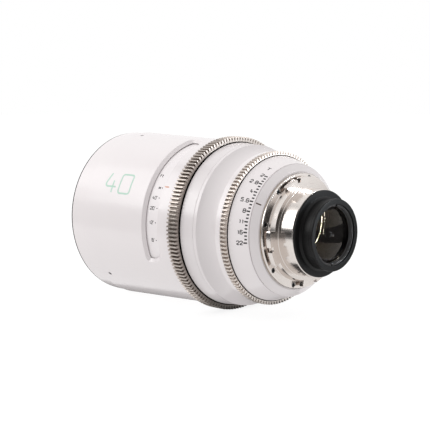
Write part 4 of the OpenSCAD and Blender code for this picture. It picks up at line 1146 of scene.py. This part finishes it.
FLAGS = [
    ("flag_horizon", (-0.48, -0.52, 0.033), (0.8, 0.176), (0.0, 0.0, 0.033), 0.015),
    ("flag_upper", (-0.198, -0.061, 0.197), (0.035, 0.06), (0.0, -0.02, 0.02), 0.06),
    ("flag_camera", (1.05, -0.68, 0.57), (1.4, 1.27), (0.0, 0.0, 0.57), 0.02),
    ("flag_rear", (0.16, 0.15, -0.028), (0.24, 0.056), (0.022, 0.0, -0.028), 0.12),
    ("flag_table_front", (-0.42, -0.44, -0.0564), (0.48, 0.48), (-0.42, -0.44, 1.0), 0.015),
    ("flag_table_rear", (0.42, -0.42, -0.0564), (0.52, 0.52), (0.42, -0.42, 1.0), 0.015),
    # Painted shadow: this card stands for the lens's own shadow on the floor, as seen in reflections.
    ("flag_under", (-0.10, 0.0, -0.0563), (0.19, 0.05), (-0.10, 0.0, 1.0), 0.015),
]
for name, centre, size, facing, tone in FLAGS:
    flag = card(name, centre, size, facing, flag_finish(name, tone))
    flag.visible_camera = False
    flag.visible_diffuse = False
    flag.visible_shadow = False
print("dark cards:", len(FLAGS))

# %% [markdown]
# ## Lamps
# Two soft boxes on the viewer's left draw the broad highlights along the barrel. Two thin strips behind
# the mount are seen only in reflections and draw the bright arcs in the rear glass. Area lamps are used
# because the size of a lamp sets how soft its highlight is.

# %% Lamps
LENS_MIDDLE = Vector((-0.07, 0, 0))
STRIPS = (("rear_strip", (0.146, 0.085, 0.055), (0.006, 0.22), 0.35, -20),
          ("rear_strip_thin", (0.141, 0.095, 0.05), (0.003, 0.16), 0.06, -16))


def soft_lamp(name, place, size, power):
    """Rectangular area lamp that looks at the middle of the lens."""
    data = bpy.data.lights.new(name, "AREA")
    data.shape = "RECTANGLE"
    data.size, data.size_y = size
    data.energy = power
    made = bpy.data.objects.new(name, data)
    made.location = place
    made.rotation_euler = (LENS_MIDDLE - Vector(place)).to_track_quat("-Z", "Y").to_euler()
    bpy.context.scene.collection.objects.link(made)
    return made


soft_lamp("key_softbox", (-0.861, -0.497, 0.597), (0.39, 0.46), 0.8)
soft_lamp("side_softbox", (-0.472, -0.583, 0.325), (0.32, 0.35), 1.28)
for name, place, size, power, turn in STRIPS:
    strip = soft_lamp(name, place, size, power)
    strip.rotation_euler.rotate_axis("Z", math.radians(turn))
    strip.data.color = (0.86, 0.93, 1.0)
    strip.visible_diffuse = False
    strip.visible_camera = False
print("lamps:", [lamp.name for lamp in bpy.data.lights])

# %% [markdown]
# ## Camera
# The camera was fitted to the round edges of the lens in the picture: it stands behind the mount, a
# little above the axis, with a long focal length, so circles stay round and the barrel hardly tapers.

# %% Camera
cam_data = bpy.data.cameras.new("picture_camera")
cam_data.sensor_width, cam_data.lens = 36.0, 92.19
camera = bpy.data.objects.new("picture_camera", cam_data)
right, up = Vector((0.70906, 0.70515, 0.0)), Vector((-0.08291, 0.08339, 0.99306))
back = Vector((0.70026, -0.70414, 0.11760))
turn = Matrix((right, up, back)).transposed().to_4x4()
camera.matrix_world = Matrix.Translation((0.43168, -0.51432, 0.08966)) @ turn
bpy.context.scene.collection.objects.link(camera)
bpy.context.scene.camera = camera
bpy.context.scene.view_settings.view_transform = "Standard"
print("camera of", round(cam_data.lens, 1), "mm at", [round(v, 3) for v in camera.location])
